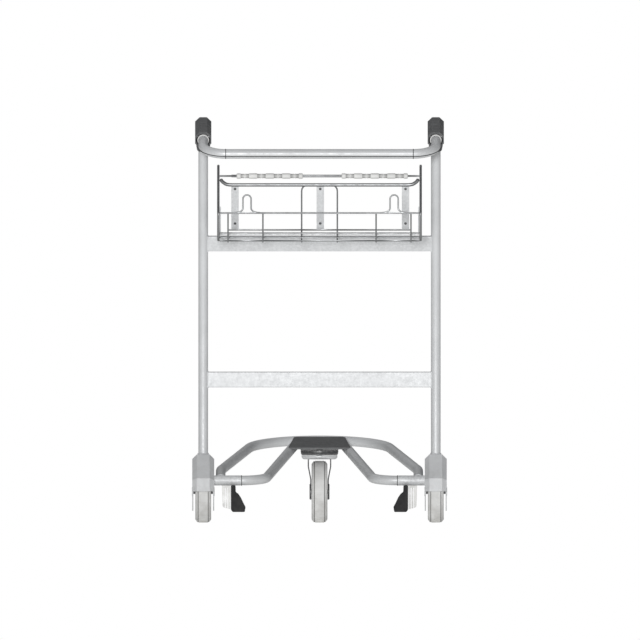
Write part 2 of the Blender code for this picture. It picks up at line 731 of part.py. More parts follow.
def make_foot(side_name, side):
    """A comb of upright ribs and, on its inner side, a boot-shaped rubber block."""
    top = STUB_Z - TUBE_R - GAP
    comb = [(0.2520, top), (0.2500, 0.0420), (0.2470, 0.0385), (0.2440, 0.0385), (0.2440, 0.090)]
    comb += [(0.2420, 0.090), (0.2420, 0.0370), (0.2375, 0.0360), (0.2375, 0.090), (0.2355, 0.090)]
    comb += [(0.2355, 0.0355), (0.2300, 0.0345), (0.2290, top)]
    boot = [(0.2285, top), (0.2165, top), (0.2160, 0.0790), (0.2095, 0.0745), (0.2030, 0.0650)]
    boot += [(0.1955, 0.0490), (0.1905, 0.0400), (0.1930, 0.0270), (0.2240, 0.0270), (0.2285, 0.0330)]
    pieces = []
    for name, outline, look in (("pad", comb, "pale_plastic"), ("foot", boot, "black_rubber")):
        loops = []
        for y in (STUB_Y - FOOT_HALF_LENGTH, STUB_Y + FOOT_HALF_LENGTH):
            loops.append([Vector((side * x, y, z)) for x, z in outline])
        pieces.append(loft(f"{side_name}_escalator_{name}", loops, look))
    return pieces


# ---------------------------------------------------------------- basket


def wire(name, path, radius=WIRE_R, sides=6):
    return tube(name, path, radius, "steel_wire", sides=sides)


def make_shelf_strip():
    place = Matrix.Translation(behind(0, (SHELF_BEHIND, SHELF_Z)))
    return block("basket_shelf_strip", SHELF_HALF, place, "steel_tube")


def make_back_panel():
    """The second rail, with its ends swept up to the side frames, the foot wire and two uprights."""
    rail_end = BASKET_X - SIDE_WIRE_R - GAP
    ends = []
    for side in (-1, 1):
        low = back_section(SECOND_RAIL_Z)
        high = back_section(0.8845)
        ends.append([behind(side * (rail_end - 0.0035), high),
                     behind(side * (rail_end - 0.0085), back_section(0.878)),
                     behind(side * 0.240, back_section(0.8725)), behind(side * 0.226, low)])
    path = ends[0] + ends[1][::-1]
    panel = tube("basket_back_panel", path, SECOND_RAIL_R, "steel_wire", sides=8)
    join(panel, wire("foot_wire", [behind(s * 0.237, BASKET_BACK_LOW) for s in (-1, 1)]))
    for side in (-1, 1):
        x = side * BACK_UPRIGHT_X
        upright = [behind(x, back_section(0.7545)), behind(x, back_section(0.855))]
        upright += [behind(side * 0.042, back_section(0.865)), behind(side * 0.034, back_section(0.8705))]
        join(panel, wire("upright", upright))
    return panel


def make_floor():
    """Two lengthwise wires on six cross wires that follow the sloping floor."""
    drop = Vector((0, 0, -0.0030))
    back = Vector((0, -WIRE_R * 2 - GAP * 2, 0))
    ends = BASKET_X - SIDE_WIRE_R - GAP
    near_z, far_z = FLOOR_WIRE_Z
    floor = wire("basket_floor", [behind(s * ends, floor_section(near_z)) for s in (-1, 1)])
    far_wire = wire("far_wire", [behind(s * ends, floor_section(far_z)) for s in (-1, 1)])
    cross_wires = []
    for x in CROSS_WIRE_X:
        start = behind(x, BASKET_BACK_LOW) + drop + back
        end = behind(x, BASKET_FRONT_LOW) + drop - back
        cross_wires.append(wire("cross_wire", [start, end]))
    return join(floor, *cross_wires, far_wire)


def hook_path(x):
    """A hook that stands on the front rim: feet flared outwards, an arch between two legs."""
    rim_y, rim_z = BASKET_RIM
    half = HOOK_HALF
    steps = 8
    right = [(0.034, rim_z + 0.0005), (0.020, rim_z + 0.0025)]
    right += [(half + 0.002, rim_z + 0.0065), (half, 0.811)]
    arch = []
    for i in range(steps + 1):
        turn = math.pi * i / steps
        arch.append((half * math.cos(turn), HOOK_ARCH_Z + half * math.sin(turn)))
    left = [(-a, b) for a, b in reversed(right)]
    return [behind(x + a, (rim_y, b)) for a, b in right + arch + left]


def make_front_panel():
    """The front rim and foot wire, four uprights between them, and two bag hooks on the rim."""
    ends = BASKET_X - SIDE_WIRE_R - GAP
    panel = wire("basket_front_panel", [behind(s * ends, BASKET_RIM) for s in (-1, 1)], WIRE_R + 0.0003)
    uprights = []
    for x in FRONT_UPRIGHT_X:
        low = (BASKET_FRONT_LOW[0], BASKET_FRONT_LOW[1] - 0.001)
        uprights.append(wire("upright", [behind(x, low), behind(x, BASKET_RIM)]))
    join(panel, *uprights)
    join(panel, wire("foot_wire", [behind(s * ends, BASKET_FRONT_LOW) for s in (-1, 1)]))
    for x in HOOK_X:
        join(panel, wire("hook", hook_path(x)))
    return panel


def make_basket_side(side_name, side):
    """A closed wire frame: up the back, over its rounded top, down to the rim and along the floor."""
    x = side * BASKET_X
    start = floor_section(0.742)
    outline = [start, BASKET_BACK_LOW, back_section(SIDE_TOP_Z), BASKET_RIM, BASKET_FRONT_LOW, start]
    path = bent_path([behind(x, spot) for spot in outline], 0.012, steps=3)[:-1]
    return closed_tube(f"{side_name}_basket_side", path, SIDE_WIRE_R, side)


def closed_tube(name, path, radius, side):
    """A wire bent into a closed loop that lies in a plane across x."""
    out = Vector((side, 0, 0))
    bm = bmesh.new()
    rings = []
    count = len(path)
    sides = 8
    for i, point in enumerate(path):
        before = (point - path[i - 1]).normalized()
        after = (path[(i + 1) % count] - point).normalized()
        direction = (before + after).normalized()
        inward = out.cross(direction)
        stretch = 1 / max(before.dot(direction), 0.5)
        ring = []
        for k in range(sides):
            turn = 2 * math.pi * k / sides
            offset = math.cos(turn) * out + math.sin(turn) * stretch * inward
            ring.append(bm.verts.new(point + radius * offset))
        rings.append(ring)
    for i in range(count):
        near = rings[i]
        far = rings[(i + 1) % count]
        for k in range(sides):
            j = (k + 1) % sides
            bm.faces.new((near[k], near[j], far[j], far[k]))
    return add_object(name, bm, "steel_wire")


def make_top_rail():
    ends = BASKET_X - SIDE_WIRE_R - GAP
    path = [behind(s * ends, back_section(TOP_RAIL_Z)) for s in (-1, 1)]
    return wire("basket_top_rail", path, TOP_RAIL_R, sides=10)


def make_sleeve(side_name):
    """Five ribbed grips in a row round the top rail, a half one at each end."""
    pitch = SLEEVE_LENGTH / 4
    fat = SLEEVE_FAT_R
    thin = SLEEVE_THIN_R
    half_fat = 0.0100
    outer = []
    for i in range(5):
        middle = i * pitch
        low = max(0.0, middle - half_fat)
        high = min(SLEEVE_LENGTH, middle + half_fat)
        if i:
            outer += [(thin, low - 0.0012), (fat, low)]
        else:
            outer += [(fat - 0.002, 0.0), (fat, 0.0025)]
        if i < 4:
            waist = middle + pitch / 2
            outer += [(fat, high), (thin, high + 0.0012), (thin, waist - 0.001), (thin - 0.0008, waist)]
            outer += [(thin, waist + 0.001)]
        else:
            outer += [(fat, SLEEVE_LENGTH - 0.0025), (fat - 0.002, SLEEVE_LENGTH)]
    bore = TOP_RAIL_R + GAP
    profile = [(bore, 0.0)] + outer + [(bore, SLEEVE_LENGTH)]
    start = behind(SLEEVE_START[side_name], back_section(TOP_RAIL_Z))
    return turned(f"{side_name}_rail_sleeve", profile, start, (1, 0, 0), "pale_plastic", 8)


def strap_frame():
    """The strap's run up the back panel, and the way out of the panel towards the nose."""
    run = behind(0, back_section(1.0)) - behind(0, back_section(0.0))
    run.normalize()
    return run, Vector((1, 0, 0)).cross(run) * -1


def make_strap(side_name):
    """A flat strap on the nose side of the back panel, from the foot wire to the second rail."""
    run, out = strap_frame()
    low, high = (behind(STRAP_X[side_name], back_section(z)) + out * strap_offset() for z in STRAP_Z)
    turn = math.atan(BASKET_LEAN)
    place = Matrix.Translation((low + high) / 2) @ Matrix.Rotation(turn, 4, "X")
    half = (STRAP_HALF_WIDTH, STRAP_HALF_THICK, (high - low).length / 2)
    strap = block(f"{side_name}_basket_strap", half, place, "steel_tube")
    for z in RIVET_Z.values():
        hole = rivet_line(side_name, z, 0.01)
        cut(strap, rod("hole", *hole, RIVET_R + GAP, "steel_tube", sides=8))
    return strap


def strap_offset():
    return SECOND_RAIL_R + STRAP_HALF_THICK + GAP


def rivet_line(side_name, z, half):
    run, out = strap_frame()
    middle = behind(STRAP_X[side_name], back_section(z)) + out * strap_offset()
    return middle - out * half, middle + out * half


def make_rivet(side_name, name, z):
    """A rivet through the strap, with a domed head on the user's side."""
    user_end, nose_end = rivet_line(side_name, z, 0.0030)
    axis = (user_end - nose_end).normalized()
    middle = (user_end + nose_end) / 2
    face = STRAP_HALF_THICK + GAP
    profile = [(0.0, -0.0028), (0.0040, -0.0028), (0.0040, -face), (RIVET_R, -face)]
    profile += [(RIVET_R, face), (0.0034, face), (0.0026, 0.0026), (0.0, 0.0030)]
    return turned(f"{side_name}_strap_rivet_{name}", profile, middle, axis, "bright_steel", 8)


def make_basket_bracket(side_name, side):
    """An upright plate that ties the side frame to the shelf strip."""
    x = side * (BASKET_X - SIDE_WIRE_R - GAP - BRACKET_HALF_THICK)
    low = SHELF_Z + SHELF_HALF.z + GAP
    outline = [(0.0860, low), (0.1240, low), (0.1420, 0.790), (0.1460, 0.8150)]
    outline += [(0.1330, 0.8150), (0.0860, 0.7600)]
    loops = []
    for s in (-1, 1):
        loops.append([behind(x + s * BRACKET_HALF_THICK, spot) for spot in outline])
    return loft(f"{side_name}_basket_bracket", loops, "steel_tube")


def main():
    clear_scene()
    make_looks()
    for side_name, side in SIDES.items():
        make_post(side_name, side)
        make_housing(side_name, side)
        make_rear_axle(side_name, side)
        make_handle_joint(side_name, side)
        make_handle_pin(side_name, side)
        make_foot(side_name, side)
        make_basket_side(side_name, side)
        make_basket_bracket(side_name, side)
        make_sleeve(side_name)
        centre = (side * POST_X, REAR_AXLE_Y, AXLE_Z)
        hang_on_pivot(f"{side_name}_wheel_pivot", centre, make_wheel(f"{side_name}_wheel", centre))
        shoe_place = (side * POST_X, REAR_AXLE_Y + SHOE_PIVOT[0], SHOE_PIVOT[1])
        hang_on_pivot(f"{side_name}_brake_pivot", shoe_place, [make_brake_shoe(side_name, side)])
    for name, height in CROSSBAR_HEIGHTS.items():
        make_crossbar(name, height)
    make_chassis()
    make_nose_plate()
    make_castor_mount()
    make_bearing_cup()
    castor_centre = (0, SWIVEL_Y - CASTOR_TRAIL, AXLE_Z)
    swivel = (0, SWIVEL_Y, CUP_LOW_Z)
    hang_on_pivot("castor_pivot", swivel, [make_fork(), make_kingpin(), make_castor_axle()])
    hang_on_pivot("castor_wheel_pivot", castor_centre, make_wheel("castor", castor_centre))
    centre, along = joint_frame(0)
    handle_pieces = [make_handle()] + [make_collar(name, side) for name, side in SIDES.items()]
    hang_on_pivot("handle_pivot", centre - along * PIVOT_REACH, handle_pieces)
    make_shelf_strip()
    make_back_panel()
    make_floor()
    make_front_panel()
    make_top_rail()
    for side_name in STRAP_X:
        make_strap(side_name)
        for height_name, z in RIVET_Z.items():
            make_rivet(side_name, height_name, z)


main()
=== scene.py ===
"""The looks of the luggage trolley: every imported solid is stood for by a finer, finished piece.

Metres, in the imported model's own frame: +Z up, +Y towards the nose, the user stands at -Y.
"""

import json
import math

import bmesh
import bpy
from mathutils import Matrix, Vector


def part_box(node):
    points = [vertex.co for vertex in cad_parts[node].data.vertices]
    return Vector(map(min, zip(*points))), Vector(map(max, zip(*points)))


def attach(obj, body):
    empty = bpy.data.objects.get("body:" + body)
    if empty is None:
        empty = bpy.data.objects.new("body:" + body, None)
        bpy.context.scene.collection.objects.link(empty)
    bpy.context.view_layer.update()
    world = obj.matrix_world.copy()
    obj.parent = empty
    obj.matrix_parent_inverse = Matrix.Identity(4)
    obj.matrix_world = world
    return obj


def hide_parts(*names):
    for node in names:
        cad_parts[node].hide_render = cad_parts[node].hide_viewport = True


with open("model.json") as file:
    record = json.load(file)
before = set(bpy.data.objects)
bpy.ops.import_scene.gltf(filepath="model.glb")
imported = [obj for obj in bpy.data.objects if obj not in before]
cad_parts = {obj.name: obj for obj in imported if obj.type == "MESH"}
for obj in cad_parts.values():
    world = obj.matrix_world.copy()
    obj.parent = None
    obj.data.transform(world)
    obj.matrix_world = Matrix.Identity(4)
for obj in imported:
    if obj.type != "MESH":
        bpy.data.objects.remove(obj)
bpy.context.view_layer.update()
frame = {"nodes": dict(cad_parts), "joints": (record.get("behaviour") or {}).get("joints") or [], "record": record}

# ---------------------------------------------------------------- places read from the frame

BODIES = frame["record"]["behaviour"]["bodies"]
BODY_OF = {node: body for body, nodes in BODIES.items() for node in nodes}
JOINT_AT = {joint["name"]: Vector(joint["pos_m"]) for joint in frame["joints"]}
REAR_AXLE = JOINT_AT["right_wheel_spin"]
CASTOR_AXLE = JOINT_AT["castor_wheel_spin"]
POST_X = REAR_AXLE.x
AXLE_Y = REAR_AXLE.y
AXLE_Z = REAR_AXLE.z
SWIVEL_Y = JOINT_AT["castor_swivel"].y
CUP_LOW_Z = JOINT_AT["castor_swivel"].z
HOUSING_TOP_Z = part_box("left_wheel_housing")[1].z
HOUSING_HALF_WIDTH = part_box("right_wheel_housing")[1].x - POST_X

SIDES = {"left": -1, "right": 1}
ACROSS = Vector((1, 0, 0))
UP = Vector((0, 0, 1))

# ---------------------------------------------------------------- sizes

GAP = 0.0003
TUBE_R = 0.0125
TUBE_SIDES = 32
POST_ARC_R = 1.880
CROSSBAR_HALF_THICK = 0.006
CROSSBAR_HALF_TALL = 0.020

STUB_Y = AXLE_Y - 0.045
STUB_Z = 0.1085
DECK_SLOPE = math.tan(math.radians(7.5))
RAIL_CORNER_X = 0.1425
RAIL_TAPER = math.tan(math.radians(6.5))
RAIL_BEND_R = 0.066
RAIL_LENGTH = 0.766
HOOP_X = 0.255
HOOP_KINK = 0.201
HOOP_R = 0.1848
HOOP_NOSE = 0.785
HOOP_TAPER = math.radians(9.9)
STUB_SLEEVE_R = 0.0130
STUB_SLEEVE_X = (0.2010, 0.2712)

TYRE_HALF_WIDTH = 0.0205
TREAD_HALF_WIDTH = 0.0130
RIM_R = 0.058
HUB_HALF_WIDTH = 0.0195
BEARING_R = 0.016
AXLE_R = 0.006
HUB_RIBS = 6
RIB_REACH = 0.0365
RIB_HALF = (0.0135, 0.0017, 0.0165)
SOCKET_R = 0.0032

CROWN_LOW_Z = 0.163
CROWN_R = 0.0463
CUP_R = 0.0487
CUP_LIP_R = 0.0467
CUP_TOP_Z = 0.187
KINGPIN_R = 0.008
NUT_R = 0.013
NUT_HEIGHT = 0.0065
NUT_LIFT = 0.0046
ARM_TOP_Z = 0.170
ARM_BEND_LOW_Z = 0.111
ARM_BEND_HIGH_Z = 0.1445
ARM_FOOT_X = 0.0208
ARM_TOP_X = 0.0272
ARM_THICK = 0.0032
ARM_EYE_R = 0.0205
ARM_NECK_Z = 0.150
ARM_NECK_Y = (-0.034, 0.020)
ARM_HEAD_Y = 0.024
ARM_BEND_R = 0.030
BOSS_R = 0.0200
BOSS_PROUD = 0.0018

HANDLE_TILT = math.radians(20.0)
PIVOT_REACH = 0.0235
MOUTH_REACH = 0.0535
HANDLE_REACH = 0.1557
HANDLE_BEND_R = 0.058
BARREL_FAR = 0.078
BARREL_HALF = 0.021
BARREL_CORNER = 0.011
CAVITY_R = 0.0183
PIN_R = 0.003
HANDLE_LINE_Z = 0.9443
HANDLE_LINE_R = 0.0011
HANDLE_SEAM_X = 0.242
ALONG = Vector((0, math.cos(HANDLE_TILT), math.sin(HANDLE_TILT)))
JOINT_CENTRE = JOINT_AT["handle_press"] + ALONG * PIVOT_REACH
JOINT_TURN = math.asin((JOINT_CENTRE.z - HOUSING_TOP_Z) / POST_ARC_R)

BASKET_X = 0.261
BASKET_BACK_LOW = (0.108, 0.755)
BASKET_FRONT_LOW = (0.275, 0.727)
BASKET_RIM = (0.290, 0.7985)
BASKET_LEAN = math.tan(math.radians(20.0))
SIDE_TOP_Z = 0.9313
TOP_RAIL_Z = 0.894
SECOND_RAIL_Z = 0.871
WIRE_R = 0.0020
RIM_WIRE_R = 0.0023
SIDE_WIRE_R = 0.0032
WIRE_END_X = BASKET_X - SIDE_WIRE_R - GAP
TOP_RAIL_R = 0.0035
THIN_RAIL_R = 0.0024
THICK_RAIL_X = 0.2265
SECOND_RAIL_R = 0.0045
MIDDLE_UPRIGHT_X = 0.046
FLOOR_WIRE_X = (-0.236, -0.146, -0.046, 0.046, 0.146, 0.236)
FRONT_UPRIGHT_X = (-0.236, -0.146, 0.146, 0.236)
HOOK_X = (-0.187, 0.1926)
HOOK_HALF_WIDTH = 0.0105
WIRE_SIDES = 14
SLEEVE_START = {"left": -0.214, "right": 0.057}
SLEEVE_LENGTH = 0.171
SLEEVE_FAT_R = 0.0072
SLEEVE_THIN_R = 0.0056
STRAP_X = {"left": -0.218, "middle": 0.002, "right": 0.222}
STRAP_Z = (0.7555, 0.8680)
STRAP_HALF_WIDTH = 0.0095
STRAP_HALF_THICK = 0.0010
RIVET_Z = {"low": 0.770, "high": 0.859}


# ---------------------------------------------------------------- materials


class Graph:
    """A short way to add and link shader nodes."""

    def __init__(self, material):
        self.tree = material.node_tree
        self.shader = self.tree.nodes["Principled BSDF"]
        self.object = self.add("ShaderNodeTexCoord").outputs["Object"]

    def add(self, kind, **inputs):
        node = self.tree.nodes.new(kind)
        for name, value in inputs.items():
            self.feed(node.inputs[name.replace("_", " ")], value)
        return node

    def feed(self, socket, value):
        if isinstance(value, bpy.types.NodeSocket):
            self.tree.links.new(value, socket)
        else:
            socket.default_value = value

    def noise(self, scale, detail=3.0, stretch=None):
        """Noise over the object, squeezed by stretch along each axis."""
        spot = self.object
        if stretch:
            spot = self.add("ShaderNodeMapping", Vector=spot, Scale=stretch).outputs["Vector"]
        return self.add("ShaderNodeTexNoise", Vector=spot, Scale=scale, Detail=detail).outputs["Fac"]

    def range(self, value, low, high, to_low, to_high):
        node = self.add("ShaderNodeMapRange", Value=value)
        limits = {"From Min": low, "From Max": high, "To Min": to_low, "To Max": to_high}
        for name, number in limits.items():
            self.feed(node.inputs[name], number)
        return node.outputs["Result"]

    def math(self, operation, first, second):
        node = self.tree.nodes.new("ShaderNodeMath")
        node.operation = operation
        self.feed(node.inputs[0], first)
        self.feed(node.inputs[1], second)
        return node.outputs[0]

    def mix(self, share, first, second):
        node = self.tree.nodes.new("ShaderNodeMix")
        node.data_type = "RGBA"
        self.feed(node.inputs["Factor"], share)
        self.feed(node.inputs["A"], first)
        self.feed(node.inputs["B"], second)
        return node.outputs["Result"]


def shade(colour, factor):
    return tuple(min(1.0, channel * factor) for channel in colour) + (1.0,)


def surface(name, colour, roughness, metallic, grain, bump, scratch=None, worn=None, dust=0.0,
            painted_hollow_shade=0.0, gloss=0.5, mottle=0.09):
    """A finish: mottled colour, uneven roughness and fine grain, with wear, dust and painted shade in hollows
    where asked.

    grain is the grain's scale per metre and bump its height in metres. scratch is (stretch,
    strength). worn is the colour that shows on raised edges. dust is how much of it lies near the
    floor. painted_hollow_shade is how far grooves and inside corners are darkened with painted
    shade, gloss is the shader's specular level, and mottle is how far the colour wanders to either side.
    """
    material = bpy.data.materials.new(f"{name}_finish")
    material.use_nodes = True
    graph = Graph(material)
    patches = graph.range(graph.noise(14.0, 4.0), 0.3, 0.7, 0.0, 1.0)
    tone = graph.mix(patches, shade(colour, 1 - mottle), shade(colour, 1 + mottle))
    rough = graph.range(graph.noise(70.0, 4.0), 0.3, 0.7, roughness - 0.07, roughness + 0.09)
    height = graph.noise(grain, 2.0)
    if scratch:
        stretch, strength = scratch
        lines = graph.noise(620.0, 2.0, stretch)
        marks = graph.range(lines, 0.60, 0.70, 0.0, strength)
        tone = graph.mix(marks, tone, shade(colour, 0.72))
        rough = graph.math("ADD", rough, graph.math("MULTIPLY", marks, 0.25))
        height = graph.math("SUBTRACT", height, marks)
    if worn:
        edge = graph.add("ShaderNodeNewGeometry").outputs["Pointiness"]
        edge = graph.range(edge, 0.515, 0.58, 0.0, 1.0)
        patchy = graph.range(graph.noise(160.0, 3.0), 0.42, 0.62, 0.0, 0.8)
        tone = graph.mix(graph.math("MULTIPLY", edge, patchy), tone, (*worn, 1.0))
    # Painted shade: grooves and inside corners, found by low pointiness, are darkened towards near black.
    if painted_hollow_shade:
        hollow = graph.add("ShaderNodeNewGeometry").outputs["Pointiness"]
        hollow = graph.range(hollow, 0.455, 0.495, painted_hollow_shade, 0.0)
        tone = graph.mix(hollow, tone, shade(colour, 0.06))
    if dust:
        z = graph.add("ShaderNodeSeparateXYZ", Vector=graph.object).outputs["Z"]
        low = graph.range(z, 0.0, 0.20, dust, 0.0)
        patchy = graph.range(graph.noise(45.0, 5.0), 0.38, 0.68, 0.0, 1.0)
        share = graph.math("MULTIPLY", low, patchy)
        tone = graph.mix(share, tone, (0.30, 0.285, 0.26, 1.0))
        rough = graph.math("ADD", rough, graph.math("MULTIPLY", share, 0.3))
    relief = graph.add("ShaderNodeBump", Height=height, Distance=bump, Strength=0.6)
    graph.feed(graph.shader.inputs["Base Color"], tone)
    graph.feed(graph.shader.inputs["Roughness"], rough)
    graph.feed(graph.shader.inputs["Normal"], relief.outputs["Normal"])
    graph.shader.inputs["Metallic"].default_value = metallic
    graph.shader.inputs["Specular IOR Level"].default_value = gloss
    return material


UPRIGHT = (1.0, 1.0, 0.06)
ACROSS_LINES = (0.05, 1.0, 1.0)
# The hollow darkening that these finishes ask for is painted shade in grooves and inside corners.
LOOKS = {
    "steel_tube": surface("steel_tube", (0.63, 0.64, 0.65), 0.46, 0.15, 900.0, 0.00004,
                          scratch=(UPRIGHT, 0.35), worn=(0.78, 0.79, 0.80), dust=0.25,
                          painted_hollow_shade=0.9, gloss=0.3, mottle=0.05),
    "steel_wire": surface("steel_wire", (0.27, 0.275, 0.28), 0.38, 0.9, 1400.0, 0.00001,
                          scratch=(ACROSS_LINES, 0.12)),
    "grey_casing": surface("grey_casing", (0.60, 0.61, 0.62), 0.52, 0.0, 1500.0, 0.00007,
                           scratch=(UPRIGHT, 0.25), worn=(0.70, 0.70, 0.70), dust=0.30,
                           painted_hollow_shade=0.9, gloss=0.3),
    "dark_plastic": surface("dark_plastic", (0.130, 0.133, 0.137), 0.62, 0.0, 1600.0, 0.00008,
                            scratch=(ACROSS_LINES, 0.3), worn=(0.20, 0.20, 0.20),
                            painted_hollow_shade=0.8, gloss=0.15),
    "pale_plastic": surface("pale_plastic", (0.70, 0.70, 0.69), 0.46, 0.0, 1500.0, 0.00005,
                            scratch=(ACROSS_LINES, 0.2), dust=0.5, painted_hollow_shade=0.9),
    "black_rubber": surface("black_rubber", (0.020, 0.020, 0.021), 0.74, 0.0, 1100.0, 0.00012,
                            worn=(0.035, 0.035, 0.035), dust=0.06, gloss=0.25),
    "grey_tyre": surface("grey_tyre", (0.66, 0.66, 0.65), 0.70, 0.0, 1000.0, 0.00010,
                         scratch=(ACROSS_LINES, 0.3), dust=0.35, painted_hollow_shade=1.0, gloss=0.2),
    "hub_plastic": surface("hub_plastic", (0.26, 0.27, 0.28), 0.50, 0.0, 1500.0, 0.00007,
                           dust=0.35),
    "bright_steel": surface("bright_steel", (0.70, 0.71, 0.72), 0.42, 0.35, 1300.0, 0.00002,
                            scratch=(ACROSS_LINES, 0.3), dust=0.15),
    "dark_steel": surface("dark_steel", (0.085, 0.087, 0.090), 0.44, 0.3, 900.0, 0.00006,
                          worn=(0.30, 0.30, 0.30), dust=0.35),
}


# ---------------------------------------------------------------- shape helpers


def solid(name, bm, sharp=38.0):
    bmesh.ops.remove_doubles(bm, verts=bm.verts, dist=1e-6)
    bmesh.ops.recalc_face_normals(bm, faces=bm.faces)
    mesh = bpy.data.meshes.new(name)
    bm.to_mesh(mesh)
    bm.free()
    mesh.shade_smooth()
    mesh.set_sharp_from_angle(angle=math.radians(sharp))
    obj = bpy.data.objects.new(name, mesh)
    bpy.context.scene.collection.objects.link(obj)
    return obj


def show(obj, look, *nodes, body="frame"):
    """Gives a piece its finish, stands it for its CAD nodes, and lets it ride with them."""
    obj.data.materials.clear()
    obj.data.materials.append(LOOKS[look])
    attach(obj, BODY_OF[nodes[0]] if nodes else body)
    if nodes:
        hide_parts(*nodes)
    return obj


def loft(name, loops):
    """One closed solid through equal loops of points, with its two ends capped."""
    bm = bmesh.new()
    rings = [[bm.verts.new(point) for point in loop] for loop in loops]
    bridge(bm, rings)
    bm.faces.new(rings[0])
    bm.faces.new(rings[-1])
    return solid(name, bm)


def bridge(bm, rings):
    count = len(rings[0])
    for near, far in zip(rings, rings[1:]):
        for i in range(count):
            j = (i + 1) % count
            bm.faces.new((near[i], near[j], far[j], far[i]))


def ring_points(centre, direction, radius, sides):
    across = direction.cross(UP)
    if across.length < 1e-6:
        across = direction.cross(Vector((0, 1, 0)))
    across.normalize()
    over = across.cross(direction)
    turns = [2 * math.pi * (i + 0.5) / sides for i in range(sides)]
    return [centre + radius * (math.cos(t) * across + math.sin(t) * over) for t in turns]


def tube(name, path, radius, sides=TUBE_SIDES, dome=0.0):
    """A round bar swept along a path. A dome rounds off its two ends by that much."""
    path = [Vector(point) for point in path]
    loops = []
    for i, point in enumerate(path):
        before = (point - path[i - 1]).normalized() if i else (path[1] - point).normalized()
        after = (path[i + 1] - point).normalized() if i + 1 < len(path) else before
        direction = (before + after).normalized()
        if loops:
            loops.append([
                p + before * ((point - p).dot(direction) / before.dot(direction)) for p in loops[-1]
            ])
        else:
            loops.append(ring_points(point, direction, radius, sides))
    if dome:
        start = (path[0] - path[1]).normalized()
        end = (path[-1] - path[-2]).normalized()
        loops.insert(0, shrunk(loops[0], path[0], 1 - dome / radius, start * dome))
        loops.append(shrunk(loops[-1], path[-1], 1 - dome / radius, end * dome))
    return loft(name, loops)


def shrunk(loop, centre, share, shift):
    return [centre + (point - centre) * share + shift for point in loop]


def rod(name, start, end, radius, sides=TUBE_SIDES, chamfer=0.0):
    start = Vector(start)
    end = Vector(end)
    direction = (end - start).normalized()
    stations = [(0.0, radius), ((end - start).length, radius)]
    if chamfer:
        length = stations[1][0]
        stations = [(0.0, radius - chamfer), (chamfer, radius)]
        stations += [(length - chamfer, radius), (length, radius - chamfer)]
    return loft(name, [ring_points(start + direction * s, direction, r, sides) for s, r in stations])


def turned(name, profile, centre, axis, segments=64):
    """A closed profile of (radius, height along the axis) points, turned about the axis."""
    centre = Vector(centre)
    axis = Vector(axis)
    bm = bmesh.new()
    rings = []
    for out in ring_points(Vector(), axis, 1.0, segments):
        rings.append([bm.verts.new(centre + out * r + axis * h) for r, h in profile])
    count = len(profile)
    for k in range(segments):
        near = rings[k]
        far = rings[(k + 1) % segments]
        for i in range(count):
            j = (i + 1) % count
            if profile[i][0] < 1e-9 and profile[j][0] < 1e-9:
                continue
            bm.faces.new((near[i], near[j], far[j], far[i]))
    return solid(name, bm)


def bent_path(corners, bend_r, steps=16):
    """Straight stretches between corners, each inner corner turned into an arc."""
    corners = [Vector(corner) for corner in corners]
    path = [corners[0]]
    for before, corner, after in zip(corners, corners[1:], corners[2:]):
        into = (corner - before).normalized()
        out = (after - corner).normalized()
        turn = into.angle(out)
        start = corner - into * (bend_r * math.tan(turn / 2))
        centre = corner + (out - into).normalized() * (bend_r / math.cos(turn / 2))
        axis = into.cross(out).normalized()
        for i in range(steps + 1):
            path.append(centre + Matrix.Rotation(turn * i / steps, 3, axis) @ (start - centre))
    path.append(corners[-1])
    return path


def closed_wire(name, path, radius, sides=WIRE_SIDES, ripple=0.0):
    """A round wire or weld bead along a closed path. A ripple swells it again and again."""
    middle = sum(path, Vector()) / len(path)
    bm = bmesh.new()
    rings = []
    for i, point in enumerate(path):
        along = (path[(i + 1) % len(path)] - path[i - 1]).normalized()
        out = point - middle
        out = (out - along * out.dot(along)).normalized()
        over = along.cross(out)
        size = radius * (1 + ripple * math.cos(i * math.tau / 4))
        turns = [math.tau * k / sides for k in range(sides)]
        spots = [point + size * (math.cos(t) * out + math.sin(t) * over) for t in turns]
        rings.append([bm.verts.new(spot) for spot in spots])
    bridge(bm, rings + rings[:1])
    return solid(name, bm)


def boolean(target, tools, operation):
    """Cuts or joins the tools into the target, and removes them."""
    for tool in tools:
        modifier = target.modifiers.new("boolean", "BOOLEAN")
        modifier.operation = operation
        modifier.solver = "EXACT"
        modifier.object = tool
    graph = bpy.context.evaluated_depsgraph_get()
    mesh = bpy.data.meshes.new_from_object(target.evaluated_get(graph))
    target.modifiers.clear()
    target.data = mesh
    for tool in tools:
        bpy.data.objects.remove(tool, do_unlink=True)
    return target


def cut(target, *tools):
    return boolean(target, tools, "DIFFERENCE")


def join(target, *tools):
    return boolean(target, tools, "UNION")


def soften(obj, width, segments=3, sharper_than=28.0):
    """Rounds a solid's sharp edges. Its flat faces keep flat shading."""
    bm = bmesh.new()
    bm.from_mesh(obj.data)
    bmesh.ops.remove_doubles(bm, verts=bm.verts, dist=2e-5)
    bmesh.ops.dissolve_limit(bm, angle_limit=math.radians(1.0), verts=bm.verts, edges=bm.edges)
    sharp = []
    for edge in bm.edges:
        if len(edge.link_faces) == 2 and edge.calc_face_angle(0.0) > math.radians(sharper_than):
            sharp.append(edge)
    bmesh.ops.bevel(bm, geom=sharp, offset=width, offset_type="OFFSET", segments=segments,
                    profile=0.5, affect="EDGES", clamp_overlap=True)
    bm.to_mesh(obj.data)
    bm.free()
    obj.data.shade_smooth()
    obj.data.set_sharp_from_angle(angle=math.radians(50.0))
    weighted = obj.modifiers.new("weighted", "WEIGHTED_NORMAL")
    weighted.keep_sharp = True
    return obj


def from_cad(node, name, look, width):
    """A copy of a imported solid, with its edges rounded, that stands for it."""
    bm = bmesh.new()
    bm.from_mesh(frame["nodes"][node].data)
    bmesh.ops.remove_doubles(bm, verts=bm.verts, dist=1e-5)
    return show(soften(solid(name, bm), width), look, node)


